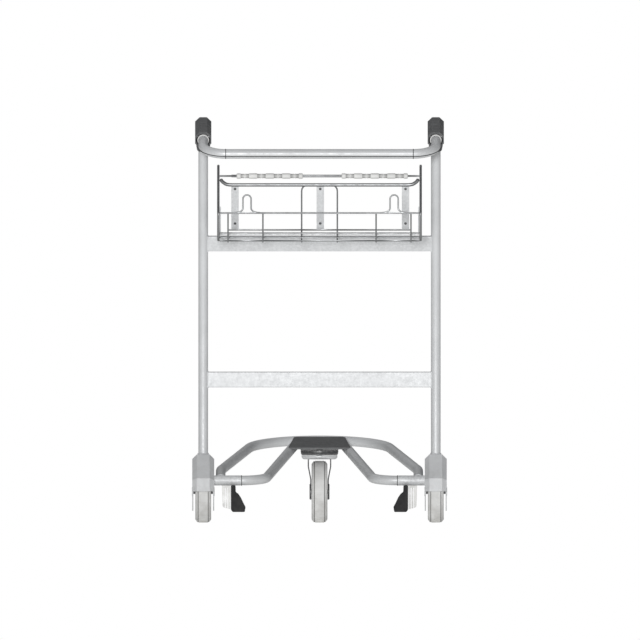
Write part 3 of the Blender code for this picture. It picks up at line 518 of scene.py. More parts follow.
def block(name, half, place, width):
    bm = bmesh.new()
    bmesh.ops.create_cube(bm, size=2.0)
    bmesh.ops.scale(bm, vec=Vector(half), verts=bm.verts)
    bmesh.ops.transform(bm, matrix=place, verts=bm.verts)
    return soften(solid(name, bm), width)


def screw(name, centre, axis, radius, height):
    """A domed head with a six-sided socket."""
    dome = [(0.0, 0.0), (radius, 0.0)]
    dome += [(radius * math.cos(t), height * math.sin(t)) for t in (0.3, 0.6, 0.9, 1.2)]
    dome.append((0.0, height))
    head = turned(name, dome, centre, axis, 32)
    socket_start = Vector(centre) + Vector(axis) * (height * 0.4)
    socket_end = Vector(centre) + Vector(axis) * (height * 2)
    return cut(head, rod("socket", socket_start, socket_end, radius * 0.5, 6))


# ---------------------------------------------------------------- places worked out


def post_point(x, turn):
    return Vector((
        x,
        AXLE_Y - POST_ARC_R * (1 - math.cos(turn)),
        HOUSING_TOP_Z + POST_ARC_R * math.sin(turn),
    ))


def post_path(x, first, last, steps):
    return [post_point(x, first + (last - first) * i / steps) for i in range(steps + 1)]


def deck(x, forward):
    """A point of the chassis plane, a distance forward of the stubs."""
    return Vector((x, STUB_Y + forward, STUB_Z + forward * DECK_SLOPE))


def rail_path(side):
    end_x = RAIL_CORNER_X - RAIL_LENGTH * RAIL_TAPER
    start_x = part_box("right_chassis_tube")[1].x
    corners = [deck(side * start_x, 0), deck(side * RAIL_CORNER_X, 0)]
    corners.append(deck(side * end_x, RAIL_LENGTH))
    return bent_path(corners, RAIL_BEND_R)


def hoop_path():
    arc_y = HOOP_NOSE - HOOP_R
    right = [deck(HOOP_X, 0.003), deck(HOOP_X, HOOP_KINK - 0.02), deck(HOOP_X - 0.001, HOOP_KINK)]
    right.append(deck(HOOP_X - 0.0045, HOOP_KINK + 0.02))
    steps = 48
    turns = [HOOP_TAPER + (math.pi - 2 * HOOP_TAPER) * i / steps for i in range(steps + 1)]
    nose = [deck(HOOP_R * math.cos(t), arc_y + HOOP_R * math.sin(t)) for t in turns]
    return right + nose + [Vector((-p.x, p.y, p.z)) for p in reversed(right)]


def joint_centre(side):
    return Vector((side * POST_X, JOINT_CENTRE.y, JOINT_CENTRE.z))


def behind(x, section):
    """A point of the basket's section, (distance behind the rear axle, height), at x."""
    return Vector((x, AXLE_Y - section[0], section[1]))


def back_section(z):
    return (BASKET_BACK_LOW[0] + (z - BASKET_BACK_LOW[1]) * BASKET_LEAN, z)


def floor_section(z):
    share = (BASKET_BACK_LOW[1] - z) / (BASKET_BACK_LOW[1] - BASKET_FRONT_LOW[1])
    return (BASKET_BACK_LOW[0] + share * (BASKET_FRONT_LOW[0] - BASKET_BACK_LOW[0]), z)


# ---------------------------------------------------------------- frame


def weld_round(name, centre, axis, radius, size=0.0016):
    """A bead round a tube."""
    path = ring_points(Vector(centre), Vector(axis).normalized(), radius, 72)
    return show(closed_wire(name, path, size, 8, ripple=0.14), "steel_tube")


def make_posts():
    for side_name, side in SIDES.items():
        end = JOINT_TURN - 0.0203 / POST_ARC_R
        path = post_path(side * POST_X, 0.0002, end, 48)
        show(tube(f"{side_name}_post_tube", path, TUBE_R), "steel_tube", f"{side_name}_post")
        foot = post_point(side * POST_X, 0.0009)
        weld_round(f"{side_name}_post_foot_bead", foot, UP, TUBE_R + 0.0006)


def crossbar_bead(name, side, turn):
    """The bead where a flat bar meets the round post: the bar's outline, laid on the post."""
    tall, thick = CROSSBAR_HALF_TALL, CROSSBAR_HALF_THICK
    normal = Vector((0, math.cos(turn), math.sin(turn)))
    along = Vector((0, -math.sin(turn), math.cos(turn)))
    corners = [(-thick, -tall), (thick, -tall), (thick, tall), (-thick, tall)]
    path = []
    for (a, b), (c, d) in zip(corners, corners[1:] + corners[:1]):
        steps = max(6, round(math.hypot(c - a, d - b) / 0.0016))
        for i in range(steps):
            n = a + (c - a) * i / steps
            t = b + (d - b) * i / steps
            x = side * (POST_X - math.sqrt(TUBE_R ** 2 - n ** 2))
            path.append(post_point(x, turn) + normal * n + along * t)
    show(closed_wire(name, path, 0.0015, 8, ripple=0.14), "steel_tube")


def make_crossbars():
    for bar_name in ("lower_crossbar", "upper_crossbar"):
        low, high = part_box(bar_name)
        turn = math.asin(((low.z + high.z) / 2 - HOUSING_TOP_Z) / POST_ARC_R)
        place = Matrix.Translation(post_point(0, turn)) @ Matrix.Rotation(turn, 4, "X")
        half = (POST_X - 0.006, CROSSBAR_HALF_THICK, CROSSBAR_HALF_TALL)
        show(block(f"{bar_name}_flat_tube", half, place, 0.0022), "steel_tube", bar_name)
        for side_name, side in SIDES.items():
            crossbar_bead(f"{side_name}_{bar_name}_bead", side, turn)


def make_chassis():
    hoop = tube("load_hoop_tube", hoop_path(), TUBE_R)
    show(hoop, "steel_tube", "load_hoop")
    for side_name, side in SIDES.items():
        rail = tube(f"{side_name}_chassis_rail", rail_path(side), TUBE_R)
        show(rail, "steel_tube", f"{side_name}_chassis_tube")
        weld_round(f"{side_name}_hoop_foot_bead", deck(side * HOOP_X, 0.0135),
                   deck(0, 1) - deck(0, 0), TUBE_R + 0.0004, 0.0018)
        make_stub_sleeve(side_name, side)


def make_stub_sleeve(side_name, side):
    """A sleeve on the stub, with a shallow slit along it at mid height on the user's side."""
    inner, outer = (deck(side * x, 0) for x in STUB_SLEEVE_X)
    sleeve = rod(f"{side_name}_stub_sleeve", inner, outer, STUB_SLEEVE_R, 48, chamfer=0.0004)
    middle = (inner + outer) / 2
    half = ((outer - inner).length / 2 + 0.002, 0.002, 0.0009)
    slit = block("slit", half, Matrix.Translation(middle + Vector((0, -STUB_SLEEVE_R, 0))), 0.00005)
    show(cut(sleeve, slit), "steel_tube")
    path = ring_points(inner, ACROSS, STUB_SLEEVE_R, 64)
    show(closed_wire(f"{side_name}_stub_sleeve_edge", path, 0.0008, 8), "black_rubber")


def make_nose():
    from_cad("nose_plate", "nose_plate_pressing", "dark_plastic", 0.0012)
    from_cad("castor_mount", "castor_mount_channel", "dark_plastic", 0.0010)


# ---------------------------------------------------------------- wheel housings


def make_housings():
    for side_name, side in SIDES.items():
        x = side * POST_X
        from_cad(f"{side_name}_wheel_housing", f"{side_name}_housing_shell", "grey_casing", 0.0010)
        from_cad(f"{side_name}_brake_shoe", f"{side_name}_brake_block", "black_rubber", 0.0006)
        ends = [(x + s * HOUSING_HALF_WIDTH, AXLE_Y, AXLE_Z) for s in (-1, 1)]
        axle = rod(f"{side_name}_axle_shaft", *ends, AXLE_R, 48, chamfer=0.0006)
        sockets = []
        for s in (-1, 1):
            face = Vector((x + s * HOUSING_HALF_WIDTH, AXLE_Y, AXLE_Z))
            depth = (face - ACROSS * s * 0.004, face + ACROSS * s * 0.002)
            sockets.append(rod("socket", *depth, SOCKET_R, 6))
        show(cut(axle, *sockets), "bright_steel", f"{side_name}_wheel_axle")
        for s, face_name in ((-1, "left_face"), (1, "right_face")):
            ring = turned(f"{side_name}_housing_{face_name}_boss", boss_profile(),
                          (x + s * HOUSING_HALF_WIDTH, AXLE_Y, AXLE_Z), (s, 0, 0), 48)
            show(ring, "grey_casing")


def boss_profile():
    """A low moulded ring round the axle's end, rounded over."""
    inner, outer, proud = 0.0067, 0.0115, 0.0008
    return [(inner, -0.0003), (outer, -0.0003), (outer, proud * 0.4), (outer - 0.0006, proud),
            (inner + 0.0006, proud), (inner, proud * 0.4)]


# ---------------------------------------------------------------- wheels


def tyre_profile():
    """Bead, rounded shoulders, a flat tread, and a fine groove at each edge of the tread."""
    radius = AXLE_Z
    shoulder = radius - (TYRE_HALF_WIDTH - TREAD_HALF_WIDTH)
    deep, wide = 0.0014, 0.0011
    edge = TREAD_HALF_WIDTH
    half = [(RIM_R, TYRE_HALF_WIDTH - 0.0020), (RIM_R + 0.0012, TYRE_HALF_WIDTH - 0.0006)]
    half += [(shoulder - 0.0022, TYRE_HALF_WIDTH)]
    half += [(shoulder + 0.0004, TYRE_HALF_WIDTH - 0.0006)]
    half += [(shoulder + 0.0018, TYRE_HALF_WIDTH - 0.0019)]
    half += [(radius - 0.0014, edge + 0.0024), (radius - 0.0005, edge + wide)]
    half += [(radius - deep, edge + wide / 2), (radius - deep, edge - wide / 2)]
    half += [(radius - 0.0002, edge - wide), (radius, edge - 0.0020)]
    return half + [(r, -h) for r, h in reversed(half)]


def hub_profile():
    rim = RIM_R - 0.0006
    flange = rim - 0.006
    boss = BEARING_R + 0.006
    top = HUB_HALF_WIDTH
    half = [(BEARING_R + GAP, top - 0.0006), (BEARING_R + 0.0009, top), (boss - 0.001, top)]
    half += [(boss, top - 0.001), (boss + 0.0016, 0.0062), (boss + 0.0036, 0.0040)]
    half += [(flange - 0.0030, 0.0040), (flange, 0.0064), (flange + 0.0010, top - 0.0030)]
    half += [(flange + 0.0018, top - 0.0020), (rim - 0.0006, top - 0.0020), (rim, top - 0.0026)]
    return half + [(r, -h) for r, h in reversed(half)]


def make_wheel(prefix, centre):
    tyre = turned(f"{prefix}_tyre_rubber", tyre_profile(), centre, ACROSS, 128)
    show(tyre, "grey_tyre", f"{prefix}_tyre")
    hub = turned(f"{prefix}_hub_moulding", hub_profile(), centre, ACROSS, 96)
    ribs = []
    for i in range(HUB_RIBS):
        turn = math.tau * i / HUB_RIBS
        spoke = Matrix.Translation(centre) @ Matrix.Rotation(turn, 4, "X")
        place = spoke @ Matrix.Translation((0, 0, RIB_REACH))
        ribs.append(block("rib", RIB_HALF, place, 0.0006))
    show(join(hub, *ribs), "hub_plastic", f"{prefix}_hub")
    bore = AXLE_R + GAP
    half = HUB_HALF_WIDTH + 0.0005
    race = [(bore, half - 0.0004), (bore + 0.0006, half), (0.0100, half), (0.0105, half - 0.0007)]
    race += [(0.0130, half - 0.0007), (0.0135, half)]
    race += [(BEARING_R - 0.0005, half), (BEARING_R, half - 0.0005)]
    profile = race + [(r, -h) for r, h in reversed(race)]
    bearing = turned(f"{prefix}_bearing_races", profile, centre, ACROSS, 64)
    show(bearing, "bright_steel", f"{prefix}_bearing")


# ---------------------------------------------------------------- castor


def arm_outline():
    """The arm in side view: a round eye at the axle, widening up to the crown."""
    back = CASTOR_AXLE.y
    outline = []
    for step in range(33):
        angle = math.radians(-190.0 + 200.0 * step / 32)
        outline.append((back + ARM_EYE_R * math.cos(angle), AXLE_Z + ARM_EYE_R * math.sin(angle)))
    neck_back, neck_front = ARM_NECK_Y
    outline += [(SWIVEL_Y + neck_front, ARM_NECK_Z), (SWIVEL_Y + ARM_HEAD_Y, ARM_TOP_Z)]
    outline += [(SWIVEL_Y - ARM_HEAD_Y, ARM_TOP_Z), (SWIVEL_Y + neck_back, ARM_NECK_Z)]
    return outline


def make_fork_arm(side):
    """A strip bent twice as it goes down, trimmed to its side outline, with a raised boss."""
    corners = [(ARM_FOOT_X, AXLE_Z - 2 * ARM_EYE_R), (ARM_FOOT_X, ARM_BEND_LOW_Z)]
    corners += [(ARM_TOP_X, ARM_BEND_HIGH_Z), (ARM_TOP_X, ARM_TOP_Z + 0.01)]
    inner = bent_path([Vector((x, 0, z)) for x, z in corners], ARM_BEND_R, 6)
    section = [(p.x, p.z) for p in inner] + [(p.x + ARM_THICK, p.z) for p in reversed(inner)]
    ends = []
    for y in (SWIVEL_Y - 0.10, SWIVEL_Y + 0.06):
        ends.append([Vector((side * x, y, z)) for x, z in section])
    arm = loft("arm", ends)
    ends = []
    for x in (0.01, 0.05):
        ends.append([Vector((side * x, *spot)) for spot in arm_outline()])
    arm = boolean(arm, [loft("trim", ends)], "INTERSECT")
    face = ARM_FOOT_X + ARM_THICK
    boss = [(0.0, -0.001), (BOSS_R, -0.001), (BOSS_R, BOSS_PROUD - 0.0007)]
    boss += [(BOSS_R - 0.0007, BOSS_PROUD), (0.0, BOSS_PROUD)]
    boss_at = Vector((side * face, CASTOR_AXLE.y, AXLE_Z))
    return join(arm, turned("boss", boss, boss_at, (side, 0, 0), 64))


def make_castor():
    swivel = Vector((0, SWIVEL_Y, 0))
    bore = KINGPIN_R + GAP
    crown_top = CUP_LOW_Z - GAP
    profile = [(bore, CROWN_LOW_Z), (0.0385, CROWN_LOW_Z), (0.0407, CROWN_LOW_Z + 0.0003)]
    profile += [(0.0426, CROWN_LOW_Z + 0.0011), (0.0442, CROWN_LOW_Z + 0.0024)]
    profile += [(0.0455, CROWN_LOW_Z + 0.0044)]
    profile += [(CROWN_R, CROWN_LOW_Z + 0.0066), (CROWN_R, crown_top - 0.0008)]
    profile += [(CROWN_R - 0.0008, crown_top), (bore, crown_top)]
    crown = turned("castor_fork_crown", profile, swivel, UP, 96)
    show(crown, "bright_steel", "castor_fork")
    ends = [(s * 0.04, CASTOR_AXLE.y, AXLE_Z) for s in (-1, 1)]
    for side_name, side in SIDES.items():
        arm = cut(make_fork_arm(side), rod("bore", *ends, AXLE_R + GAP, 32))
        arm = show(soften(arm, 0.0005, 2), "dark_steel", body="castor_fork")
        arm.name = f"castor_fork_{side_name}_arm"

    bore = KINGPIN_R + 0.0006
    lip_top = CUP_LOW_Z + 0.0022
    cup = [(bore, lip_top), (CUP_LIP_R - 0.0012, lip_top), (CUP_LIP_R, lip_top + 0.0008)]
    cup += [(CUP_LIP_R, CUP_LOW_Z + 0.0045), (CUP_R - 0.0003, CUP_LOW_Z + 0.0062)]
    cup += [(CUP_R, CUP_LOW_Z + 0.0072), (CUP_R - 0.0010, CUP_LOW_Z + 0.0078)]
    cup += [(CUP_R - 0.0010, CUP_LOW_Z + 0.0086), (CUP_R, CUP_LOW_Z + 0.0092)]
    cup += [(CUP_R, CUP_TOP_Z - 0.0010), (CUP_R - 0.0010, CUP_TOP_Z), (bore, CUP_TOP_Z)]
    show(turned("castor_swivel_race", cup, swivel, UP, 96), "dark_steel", "castor_bearing_cup")
    lip = [(bore, CUP_LOW_Z), (CUP_LIP_R - 0.0012, CUP_LOW_Z)]
    lip += [(CUP_LIP_R - 0.0004, CUP_LOW_Z + 0.0004), (CUP_LIP_R, CUP_LOW_Z + 0.0009)]
    lip += [(CUP_LIP_R - 0.0004, CUP_LOW_Z + 0.0016), (bore, lip_top - 0.0004)]
    show(turned("castor_race_lip", lip, swivel, UP, 96), "bright_steel")

    pin_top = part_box("castor_kingpin")[1].z
    ends = [swivel + UP * (CROWN_LOW_Z + GAP), swivel + UP * pin_top]
    pin = rod("castor_kingpin_bolt", *ends, KINGPIN_R, 48, chamfer=0.0008)
    nut_z = CUP_TOP_Z + NUT_LIFT
    nut_ends = (swivel + UP * nut_z, swivel + UP * (nut_z + NUT_HEIGHT))
    nut = soften(rod("nut", *nut_ends, NUT_R, 6), 0.0006)
    nut.modifiers.clear()
    show(join(pin, nut), "bright_steel", "castor_kingpin")

    middle = Vector((0, CASTOR_AXLE.y, AXLE_Z))
    reach = ARM_FOOT_X + ARM_THICK + BOSS_PROUD
    ends = [middle - ACROSS * reach, middle + ACROSS * reach]
    show(rod("castor_axle_shaft", *ends, AXLE_R, 48, chamfer=0.0006), "bright_steel", "castor_axle")


# ---------------------------------------------------------------- handle


def octagon(centre, half, corner):
    over = ACROSS.cross(ALONG)
    flat = half - corner
    spots = [(half, -flat), (half, flat), (flat, half), (-flat, half)]
    spots += [(-half, flat), (-half, -flat), (-flat, -half), (flat, -half)]
    return [centre + ACROSS * a + over * b for a, b in spots]


def make_handle_joint(side_name, side):
    """An eight-sided barrel with a groove, a mouth for the handle and a skirt on the post."""
    centre = joint_centre(side)
    groove, groove_wide, groove_deep = 0.0107, 0.0010, 0.0007
    stations = [(-MOUTH_REACH, 0.003), (-MOUTH_REACH + 0.003, 0.0)]
    stations += [(groove - groove_wide, 0.0), (groove - groove_wide * 0.6, groove_deep)]
    stations += [(groove + groove_wide * 0.6, groove_deep), (groove + groove_wide, 0.0)]
    stations += [(BARREL_FAR - 0.016, 0.0), (BARREL_FAR - 0.006, 0.003), (BARREL_FAR, 0.009)]
    loops = []
    for reach, inset in stations:
        spot = centre + ALONG * reach
        loops.append(octagon(spot, BARREL_HALF - inset, BARREL_CORNER - inset * 0.5))
    barrel = loft(f"{side_name}_joint_barrel", loops)
    down = (post_point(side * POST_X, JOINT_TURN - 0.048 / POST_ARC_R) - centre).normalized()
    skirt = [(0.0, 0.012), (0.0192, 0.012), (0.0185, 0.030), (0.0178, 0.036), (0.0162, 0.0455)]
    skirt += [(0.0155, 0.0470), (0.0, 0.0470)]
    join(barrel, turned("skirt", skirt, centre, down, 48))
    mouth = centre - ALONG * (MOUTH_REACH + 0.01)
    cavity = rod("cavity", mouth, centre + ALONG * 0.0045, CAVITY_R, 48)
    sunk = JOINT_TURN - 0.0200 / POST_ARC_R
    socket_path = post_path(side * POST_X, JOINT_TURN - 0.07 / POST_ARC_R, sunk, 4)
    pivot = centre - ALONG * PIVOT_REACH
    pin_hole = rod("pin_hole", pivot - ACROSS * 0.03, pivot + ACROSS * 0.03, PIN_R + GAP, 32)
    cut(barrel, cavity, tube("socket", socket_path, TUBE_R + 0.0004), pin_hole)
    show(soften(barrel, 0.0006, 2), "dark_plastic", f"{side_name}_handle_joint")

    pin = rod(f"{side_name}_pivot_pin", pivot - ACROSS * BARREL_HALF, pivot + ACROSS * BARREL_HALF,
              PIN_R, 32, chamfer=0.0004)
    show(pin, "bright_steel", f"{side_name}_handle_pin")
    back = Vector((0, -1, 0))
    face = centre + down * 0.0385 + (back - down * back.dot(down)).normalized() * 0.0160
    out = (face - (centre + down * 0.0385)).normalized()
    show(screw(f"{side_name}_clamp_screw", face, out, 0.0046, 0.0022), "bright_steel")

    inner = TUBE_R + GAP
    ring = [(inner, 0.0), (0.0142, 0.0), (0.0150, 0.0008)]
    ring += [(0.0150, 0.0042), (0.0142, 0.005), (inner, 0.005)]
    start = centre - ALONG * (MOUTH_REACH - 0.0005)
    collar = turned(f"{side_name}_arm_collar", ring, start, ALONG, 64)
    show(collar, "pale_plastic", f"{side_name}_handle_collar")


def make_handle_line(path, bar_z):
    """The dark line that follows the handle's tube, along its lower third."""
    over = ACROSS.cross(ALONG)
    turn = HANDLE_TILT + math.asin((HANDLE_LINE_Z - bar_z) / TUBE_R)
    spots = []
    for before, point, after in zip(path, path[1:], path[2:]):
        out = (after - before).normalized().cross(over)
        spots.append(point + TUBE_R * (math.cos(turn) * out + math.sin(turn) * over))
    show(tube("handle_seam_line", spots, HANDLE_LINE_R, 8), "black_rubber", body="handle")


def make_handle():
    corners = []
    for side in (-1, 1):
        centre = joint_centre(side)
        ends = [centre - ALONG * 0.0035, centre - ALONG * HANDLE_REACH]
        corners += ends if side < 0 else ends[::-1]
    handle = tube("handle_bar", bent_path(corners, HANDLE_BEND_R, 20), TUBE_R)
    for side in SIDES.values():
        pivot = joint_centre(side) - ALONG * PIVOT_REACH
        hole = (pivot - ACROSS * 0.03, pivot + ACROSS * 0.03)
        cut(handle, rod("pin_hole", *hole, PIN_R + 0.0006, 24))
    show(handle, "steel_tube", "handle")
    bar = joint_centre(0) - ALONG * HANDLE_REACH
    make_handle_line(bent_path(corners, HANDLE_BEND_R, 20), bar.z)
    for side_name, side in SIDES.items():
        path = ring_points(bar + ACROSS * side * HANDLE_SEAM_X, ACROSS, TUBE_R, 64)
        seam = closed_wire(f"{side_name}_handle_seam", path, 0.0009, 8)
        show(seam, "black_rubber", body="handle")


# ---------------------------------------------------------------- escalator feet


def make_feet():
    for side_name in SIDES:
        from_cad(f"{side_name}_escalator_pad", f"{side_name}_comb_pad", "pale_plastic", 0.0005)
        from_cad(f"{side_name}_escalator_foot", f"{side_name}_boot_block", "black_rubber", 0.0022)


# ---------------------------------------------------------------- basket


def wire(name, path, radius=WIRE_R, sides=WIRE_SIDES):
    return tube(name, path, radius, sides, dome=radius * 0.45)


def make_back_panel():
    rail_end = WIRE_END_X
    ends = []
    for side in (-1, 1):
        ends.append([behind(side * (rail_end - 0.0035), back_section(0.8845)),
                     behind(side * (rail_end - 0.0055), back_section(0.8808)),
                     behind(side * (rail_end - 0.0085), back_section(0.878)),
                     behind(side * 0.2445, back_section(0.8748)),
                     behind(side * 0.240, back_section(0.8725)),
                     behind(side * 0.233, back_section(0.8713)),
                     behind(side * 0.226, back_section(SECOND_RAIL_Z))])
    panel = wire("back_panel_wires", ends[0] + ends[1][::-1], SECOND_RAIL_R, 20)
    wires = [wire("foot_wire", [behind(s * 0.237, BASKET_BACK_LOW) for s in (-1, 1)])]
    for side in (-1, 1):
        upright = [behind(side * MIDDLE_UPRIGHT_X, back_section(z)) for z in (0.7545, 0.855)]
        bend = ((0.0451, 0.861), (0.042, 0.8658), (0.038, 0.869), (0.033, 0.8705))
        upright += [behind(side * x, back_section(z)) for x, z in bend]
        wires.append(wire("upright", upright))
    show(join(panel, *wires), "steel_wire", "basket_back_panel")


def make_floor_wires():
    drop = Vector((0, 0, -0.0030))
    back = Vector((0, -WIRE_R * 2 - 0.0006, 0))
    ends = WIRE_END_X
    floor, far = (
        wire(name, [behind(s * ends, floor_section(z)) for s in (-1, 1)])
        for name, z in (("floor_wires", 0.747), ("far_wire", 0.735))
    )
    cross = []
    for x in FLOOR_WIRE_X:
        start = behind(x, BASKET_BACK_LOW) + drop + back
        cross.append(wire("cross_wire", [start, behind(x, BASKET_FRONT_LOW) + drop - back]))
    show(join(floor, *cross, far), "steel_wire", "basket_floor")


def hook_path(x):
    """A hook that stands on the front rim: feet flared outwards, an arch between two legs."""
    rim_y, rim_z = BASKET_RIM
    half = HOOK_HALF_WIDTH
    right = [(0.034, rim_z + 0.0005), (0.026, rim_z + 0.0012), (0.020, rim_z + 0.0025)]
    right += [(half + 0.0055, rim_z + 0.0042), (half + 0.0022, rim_z + 0.0070)]
    right += [(half + 0.0004, rim_z + 0.0100), (half, 0.8120)]
    steps = 18
    turns = [math.pi * i / steps for i in range(steps + 1)]
    arch = [(half * math.cos(t), 0.8345 + half * math.sin(t)) for t in turns]
    left = [(-a, b) for a, b in reversed(right)]
    return [behind(x + a, (rim_y, b)) for a, b in right + arch + left]


def make_front_panel():
    ends = WIRE_END_X
    panel = wire("front_panel_wires", [behind(s * ends, BASKET_RIM) for s in (-1, 1)], RIM_WIRE_R)
    wires = []
    for x in FRONT_UPRIGHT_X:
        low = (BASKET_FRONT_LOW[0], BASKET_FRONT_LOW[1] - 0.001)
        wires.append(wire("upright", [behind(x, low), behind(x, BASKET_RIM)]))
    wires.append(wire("foot_wire", [behind(s * ends, BASKET_FRONT_LOW) for s in (-1, 1)]))
    wires += [wire("hook", hook_path(x)) for x in HOOK_X]
    show(join(panel, *wires), "steel_wire", "basket_front_panel")


def make_basket_side(side_name, side):
    """A closed wire frame in the upright plane at the basket's end."""
    x = side * BASKET_X
    start = floor_section(0.742)
    outline = [start, BASKET_BACK_LOW, back_section(SIDE_TOP_Z)]
    outline += [BASKET_RIM, BASKET_FRONT_LOW, start]
    path = bent_path([behind(x, spot) for spot in outline], 0.012, 10)[:-1]
    loop = closed_wire(f"{side_name}_side_frame", path, SIDE_WIRE_R, 18)
    show(loop, "steel_wire", f"{side_name}_basket_side")


def sleeve_profile():
    """Ribbed grips in a row: five fat bands with narrow waists between, rounded all over."""
    pitch = SLEEVE_LENGTH / 4
    fat, thin, half_fat = SLEEVE_FAT_R, SLEEVE_THIN_R, 0.0100
    points = [(fat - 0.0022, 0.0), (fat - 0.0006, 0.0010), (fat, 0.0026)]
    for i in range(4):
        edge = i * pitch + half_fat
        waist = (i + 0.5) * pitch
        rise = (i + 1) * pitch - half_fat
        points += [(fat, edge - 0.0008), (fat - 0.0003, edge), (thin, edge + 0.0012)]
        points += [(thin, waist - 0.0030), (thin + 0.0008, waist - 0.0022), (thin - 0.0008, waist)]
        points += [(thin + 0.0008, waist + 0.0022), (thin, waist + 0.0030)]
        points += [(thin, rise - 0.0012), (fat - 0.0003, rise), (fat, rise + 0.0008)]
    points += [(fat, SLEEVE_LENGTH - 0.0026), (fat - 0.0006, SLEEVE_LENGTH - 0.0010)]
    points += [(fat - 0.0022, SLEEVE_LENGTH)]
    bore = TOP_RAIL_R + GAP
    return [(bore, 0.0)] + points + [(bore, SLEEVE_LENGTH)]


def make_straps():
    run = (behind(0, back_section(1.0)) - behind(0, back_section(0.0))).normalized()
    out = ACROSS.cross(run) * -1
    offset = SECOND_RAIL_R + STRAP_HALF_THICK + GAP
    place_turn = Matrix.Rotation(math.atan(BASKET_LEAN), 4, "X")
    for strap_name, x in STRAP_X.items():
        low, high = (behind(x, back_section(z)) + out * offset for z in STRAP_Z)
        half = (STRAP_HALF_WIDTH, STRAP_HALF_THICK, (high - low).length / 2)
        place = Matrix.Translation((low + high) / 2) @ place_turn
        strap = block(f"{strap_name}_flat_strap", half, place, 0.0006)
        show(strap, "steel_tube", f"{strap_name}_basket_strap")
        for height_name, z in RIVET_Z.items():
            middle = behind(x, back_section(z)) + out * offset
            face = STRAP_HALF_THICK
            profile = [(0.0, -0.0030), (0.0036, -0.0026), (0.0040, -0.0020)]
            profile += [(0.0040, -face), (0.0034, -face), (0.0034, face)]
            profile += [(0.0033, face + 0.0006), (0.0026, 0.0024), (0.0014, 0.0029), (0.0, 0.0030)]
            rivet = turned(f"{strap_name}_{height_name}_rivet_head", profile, middle, -out, 32)
            show(rivet, "dark_steel", f"{strap_name}_strap_rivet_{height_name}")


def make_basket():
    make_back_panel()
    make_floor_wires()
    make_front_panel()
    make_straps()
    ends = WIRE_END_X
    profile = [(0.0, -ends), (THIN_RAIL_R, -ends), (THIN_RAIL_R, -THICK_RAIL_X - 0.0015)]
    profile += [(TOP_RAIL_R, -THICK_RAIL_X)]
    profile += [(r, -h) for r, h in reversed(profile)]
    rail = turned("top_rail_bar", profile, behind(0, back_section(TOP_RAIL_Z)), ACROSS, 32)
    show(rail, "steel_wire", "basket_top_rail")
    from_cad("basket_shelf_strip", "shelf_strip_flat", "steel_tube", 0.0004)
    for side_name, side in SIDES.items():
        make_basket_side(side_name, side)
        from_cad(f"{side_name}_basket_bracket", f"{side_name}_bracket_plate", "steel_tube", 0.0005)
        start = behind(SLEEVE_START[side_name], back_section(TOP_RAIL_Z))
        sleeve = turned(f"{side_name}_ribbed_sleeve", sleeve_profile(), start, ACROSS, 40)
        show(sleeve, "pale_plastic", f"{side_name}_rail_sleeve")


# ---------------------------------------------------------------- stage

FLOOR_HALF = 60.0
FLOOR_GLOW = 0.30
CAMERA_AT = (0.0013, -4.0, 0.5225)
CAMERA_SPAN = 1.6512


def make_floor():
    """A wide pale floor that glows faintly, so that it stays pale, with a slight unevenness."""
    bm = bmesh.new()
    bmesh.ops.create_grid(bm, x_segments=2, y_segments=2, size=FLOOR_HALF)
    mesh = bpy.data.meshes.new("studio_floor")
    bm.to_mesh(mesh)
    bm.free()
    floor = bpy.data.objects.new("studio_floor", mesh)
    bpy.context.scene.collection.objects.link(floor)
    finish = surface("studio_floor", (0.90, 0.90, 0.89), 0.85, 0.0, 60.0, 0.00003,
                     gloss=0.1, mottle=0.012)
    shader = finish.node_tree.nodes["Principled BSDF"]
    shader.inputs["Emission Color"].default_value = (1.0, 1.0, 0.99, 1.0)
    shader.inputs["Emission Strength"].default_value = FLOOR_GLOW
    floor.data.materials.append(finish)


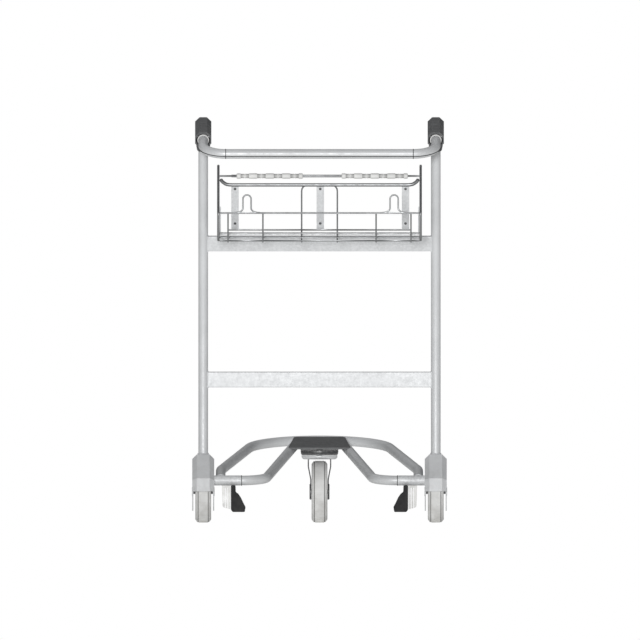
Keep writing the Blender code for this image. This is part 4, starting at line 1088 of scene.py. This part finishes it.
def add_sun(name, direction, strength, spread):
    """A soft distant light that shines along a direction."""
    data = bpy.data.lights.new(name, "SUN")
    data.energy = strength
    data.angle = math.radians(spread)
    light = bpy.data.objects.new(name, data)
    light.rotation_mode = "QUATERNION"
    light.rotation_quaternion = Vector(direction).to_track_quat("-Z", "Y")
    bpy.context.scene.collection.objects.link(light)


def make_lights():
    """A key light from the camera's side, soft light from above and behind, and a dim room.

    The backdrop is white where the camera sees it, and it lights nothing.
    """
    add_sun("key", (0.06, 1.0, -0.05), 2.35, 10.0)
    add_sun("overhead", (-0.25, 0.25, -1.0), 0.26, 60.0)
    add_sun("behind", (0.30, -0.80, -1.0), 0.45, 60.0)
    world = bpy.data.worlds.new("room")
    bpy.context.scene.world = world
    world.use_nodes = True
    tree = world.node_tree
    tree.nodes.clear()
    output = tree.nodes.new("ShaderNodeOutputWorld")
    mix = tree.nodes.new("ShaderNodeMixShader")
    path = tree.nodes.new("ShaderNodeLightPath")
    room = tree.nodes.new("ShaderNodeBackground")
    backdrop = tree.nodes.new("ShaderNodeBackground")
    room.inputs["Color"].default_value = (0.95, 0.97, 1.0, 1.0)
    room.inputs["Strength"].default_value = 0.08
    backdrop.inputs["Color"].default_value = (1.0, 1.0, 1.0, 1.0)
    tree.links.new(path.outputs["Is Camera Ray"], mix.inputs["Fac"])
    tree.links.new(room.outputs["Background"], mix.inputs[1])
    tree.links.new(backdrop.outputs["Background"], mix.inputs[2])
    tree.links.new(mix.outputs["Shader"], output.inputs["Surface"])


def make_camera():
    """Level and straight on from the user's side, without perspective."""
    data = bpy.data.cameras.new("camera")
    data.type = "ORTHO"
    data.ortho_scale = CAMERA_SPAN
    camera = bpy.data.objects.new("camera", data)
    camera.location = CAMERA_AT
    camera.rotation_euler = (math.radians(90.0), 0.0, 0.0)
    bpy.context.scene.collection.objects.link(camera)
    bpy.context.scene.camera = camera


make_camera()
make_posts()
make_crossbars()
make_chassis()
make_nose()
make_housings()
for side_name, side in SIDES.items():
    make_wheel(f"{side_name}_wheel", Vector((side * POST_X, AXLE_Y, AXLE_Z)))
    make_handle_joint(side_name, side)
make_wheel("castor", CASTOR_AXLE)
make_castor()
make_handle()
make_feet()
make_basket()
make_floor()
make_lights()
bpy.context.scene.view_settings.view_transform = "Standard"
